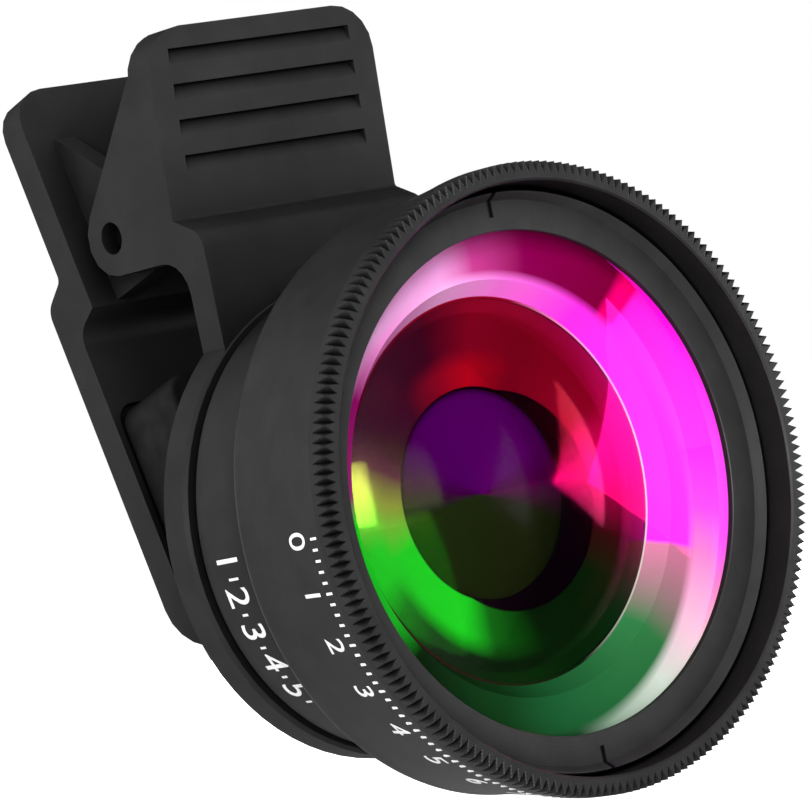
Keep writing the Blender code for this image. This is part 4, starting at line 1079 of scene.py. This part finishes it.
# %% New finishes for plain CAD pieces
plain_pieces = {
    "rear_element": violet_painted_reflections, "macro_rear_element": clear_coat, "macro_front_element": clear_coat,
    "wide_spacer": lathe_black, "rear_retaining_ring": lathe_black, "macro_spacer": lathe_black,
    "macro_retaining_ring": lathe_black}
for node, finish in plain_pieces.items():
    recoat(nodes[node].data, finish)
print("plain pieces with a new finish:", len(plain_pieces))

# %% [markdown]
# ## Pin, spring and pads
# The spring is one wire: a leg, five and a half turns and a second leg, as on a torsion spring.
# One end lies along the front jaw and the other along the rear jaw.

# %% Path of the wire
HINGE_HEIGHT = 20.7
HINGE = Vector((0, 5.7, HINGE_HEIGHT))
TILT, LEAN = math.radians(15.5), math.radians(4)
WIRE, COIL_RADIUS, COIL_TURNS, COIL_LENGTH, COIL_STEPS = 0.9, 1.88, 5.5, 6.325, 200
LEG, LEG_SHARES, HANDLE_INSIDE, LEG_GAP = 8.0, (2, 4, 6), 4.4, 0.3 + WIRE / 2
ARM_FRONT, PAD_SETBACK, PLATE, CHANNEL_SINK = 3.3, 2.53, 2.2, 0.15


def channel_floor(height):
    """Depth of the channel behind the thumb pad at a height."""
    rise = (max(height, HINGE_HEIGHT) - HINGE_HEIGHT) * math.tan(LEAN)
    return ARM_FRONT - PAD_SETBACK + rise - (PLATE - CHANNEL_SINK) / math.cos(LEAN)


wire = []
for share in LEG_SHARES[::-1]:
    height = HINGE.z + share * LEG / 6
    wire.append(Vector((-COIL_LENGTH / 2, LEG_GAP / math.cos(LEAN) - channel_floor(height), height)))
sweep = 2 * math.pi * COIL_TURNS - TILT
for step in range(COIL_STEPS + 1):
    angle = math.pi + sweep * step / COIL_STEPS
    wire.append(HINGE + Vector((-COIL_LENGTH / 2 + COIL_LENGTH * step / COIL_STEPS,
                                COIL_RADIUS * math.cos(angle), COIL_RADIUS * math.sin(angle))))
for share in LEG_SHARES:
    leg = Vector((0, HANDLE_INSIDE - LEG_GAP, share * LEG / 6))
    place = HINGE + Matrix.Rotation(-TILT, 3, "X") @ leg
    wire.append(Vector((COIL_LENGTH / 2, place.y, place.z)))
print("the wire has", len(wire), "points")

# %% Spring
curve = bpy.data.curves.new("spring_wire", "CURVE")
curve.dimensions = "3D"
curve.bevel_depth = WIRE / 2 * MM
curve.bevel_resolution = 4
curve.use_fill_caps = True
spline = curve.splines.new("POLY")
spline.points.add(len(wire) - 1)
for point, place in zip(spline.points, wire):
    point.co = (*(place * MM), 1)
coil = harvest(linked("spring_wire", curve))
recoat(coil, spring_steel)
smooth(coil, 60)
spring = show("spring_coil", coil, None, ("torsion_spring",))
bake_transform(spring)

# %% Pin and pads
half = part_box("hinge_pin")[1].x / MM
PIN_RADIUS = 0.93
pin_profile = arcs([(0, half), (PIN_RADIUS, half), (PIN_RADIUS, -half), (0, -half)], 0.25, 4)
pin = lathe("pin", pin_profile, 48, pin_black)
pin.transform(Matrix.Translation(HINGE * MM) @ Matrix.Rotation(math.radians(90), 4, "Z"))
show("rounded_pin", pin, "front_jaw", ("hinge_pin",))

PAD_INNER, PAD_OUTER, PAD_DEPTH, PAD_MIDDLE = 9.5, 13.2, 1.3, 11.0
pad_profile = arcs([
    (PAD_MIDDLE, PAD_DEPTH), (PAD_OUTER, PAD_DEPTH), (PAD_OUTER, 0), (PAD_INNER, 0),
    (PAD_INNER, PAD_DEPTH), (PAD_MIDDLE, PAD_DEPTH)], 0.45, 5)[:-1]
ring_pad = lathe("ring_pad", pad_profile, 160, soft_rubber)
show("ring_pad", ring_pad, "front_jaw", ("front_pad",))

rear_pad = eased_copy("rear_pad", 0.35, soft_rubber, steps=4)
show("rounded_rear_pad", rear_pad, "rear_jaw", ("rear_pad",))

# %% [markdown]
# ## A plain scale on the barrels
# The barrels carry white marks round their sides. Here they are a plain dial scale: ticks and
# numbers. The ticks are instances on an arc of points, every fifth one longer.

# %% Tick recipe
ticks = Recipe("Ticks", Count=41, Start=3.2, Sweep=1.4, Radius=19.0 * MM, Depth=17.0 * MM,
               Length=0.9 * MM, Width=0.16 * MM, Finish="")
index = ticks.node("GeometryNodeInputIndex").outputs[0]
points = ticks.node("GeometryNodePoints", Count=ticks.value("Count"))
calc = ticks.math
share = calc("DIVIDE", index, calc("SUBTRACT", ticks.value("Count"), 1.0))
angle = calc("ADD", ticks.value("Start"), calc("MULTIPLY", share, ticks.value("Sweep")))
radius = ticks.value("Radius")
spot = ticks.node("ShaderNodeCombineXYZ", X=calc("MULTIPLY", radius, calc("COSINE", angle)),
                  Y=calc("MULTIPLY", ticks.value("Depth"), -1.0),
                  Z=calc("MULTIPLY", radius, calc("SINE", angle)))
feed(ticks.tree, points.inputs["Position"], spot.outputs[0])
fifth = calc("COMPARE", calc("MODULO", index, 5.0), 0.0, 0.1)
long_share = calc("ADD", 0.55, calc("MULTIPLY", fifth, 0.45))
bar = ticks.node("GeometryNodeMeshCube", Size=(0.1 * MM, 1, 1))
shifted = ticks.node("GeometryNodeTransform", Geometry=bar.outputs[0], Translation=(0, -0.5, 0))
size = ticks.node("ShaderNodeCombineXYZ", X=1.0, Z=ticks.value("Width"),
                  Y=calc("MULTIPLY", ticks.value("Length"), long_share))
spin = ticks.node("ShaderNodeCombineXYZ", Y=calc("MULTIPLY", angle, -1.0))
placed = ticks.node("GeometryNodeInstanceOnPoints", Points=points.outputs[0],
                    Instance=shifted.outputs[0], Rotation=spin.outputs[0], Scale=size.outputs[0])
ticks.finish(placed.outputs[0])


# %% [markdown]
# The numbers are Blender text, made a mesh and bent round the barrel point by point: the width
# of a digit becomes an angle, its height runs along the axis, and its thickness stands out.

# %% Numbers
INK_HEIGHT = 0.02


def numbers(digits, start_angle, step_angle, depth, height, radius_at):
    """Digits wrapped round the lens axis at a depth, as thin raised ink."""
    grid = bmesh.new()
    for order, digit in enumerate(digits):
        letters = bpy.data.curves.new("digits", "FONT")
        letters.body = digit
        letters.size = height * 1.4
        letters.align_x = "CENTER"
        letters.extrude = INK_HEIGHT
        letters.resolution_u = 6
        flat_mesh = harvest(linked("digits", letters))
        centre = math.radians(start_angle + step_angle * order)
        for corner in flat_mesh.vertices:
            across, up, lift = corner.co
            deep = depth + up
            corner.co = on_lathe(radius_at(deep) + lift, deep, centre + across / radius_at(depth))
        grid.from_mesh(flat_mesh)
    bmesh.ops.remove_doubles(grid, verts=grid.verts, dist=0.001 * MM)
    bmesh.ops.recalc_face_normals(grid, faces=grid.faces)
    mesh = poured(grid, "numbers")
    mesh.materials.append(white_ink)
    return mesh


def scale_ticks(count, start, sweep, radius, depth, length):
    """An arc of ticks; angles in degrees, sizes in millimetres, half sunk into the barrel."""
    return ticks.cook(bpy.data.meshes.new("seed"), Count=count, Start=math.radians(start),
                      Sweep=math.radians(sweep), Radius=(radius - 0.03) * MM, Depth=depth * MM,
                      Length=length * MM, Finish=white_ink)


# %% Both scales
wide_ticks = scale_ticks(41, 181, 80, barrel_radius(20.4), 20.0, 0.8)
wide_numbers = numbers("012345678", 181, 10, 17.6, 1.7, barrel_radius)
show("wide_scale", merged("wide_scale", [wide_ticks, wide_numbers]), "wide_lens")

macro_ticks = scale_ticks(5, 187.5, 36, MACRO_RADIUS, 6.0, 0.9)
macro_numbers = numbers("12345", 183, 9, 5.3, 2.1, lambda depth: MACRO_RADIUS)
show("macro_scale", merged("macro_scale", [macro_ticks, macro_numbers]), "macro_lens")

# %% [markdown]
# ## Done
# The visual model should fill the same box as the CAD model. Both boxes are printed.

# %% Finish
seen_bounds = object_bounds()
size = {"cad": [list(corner) for corner in cad_bounds], "visual": [list(corner) for corner in seen_bounds]}
print("CAD box", size["cad"])
print("visual box", size["visual"])
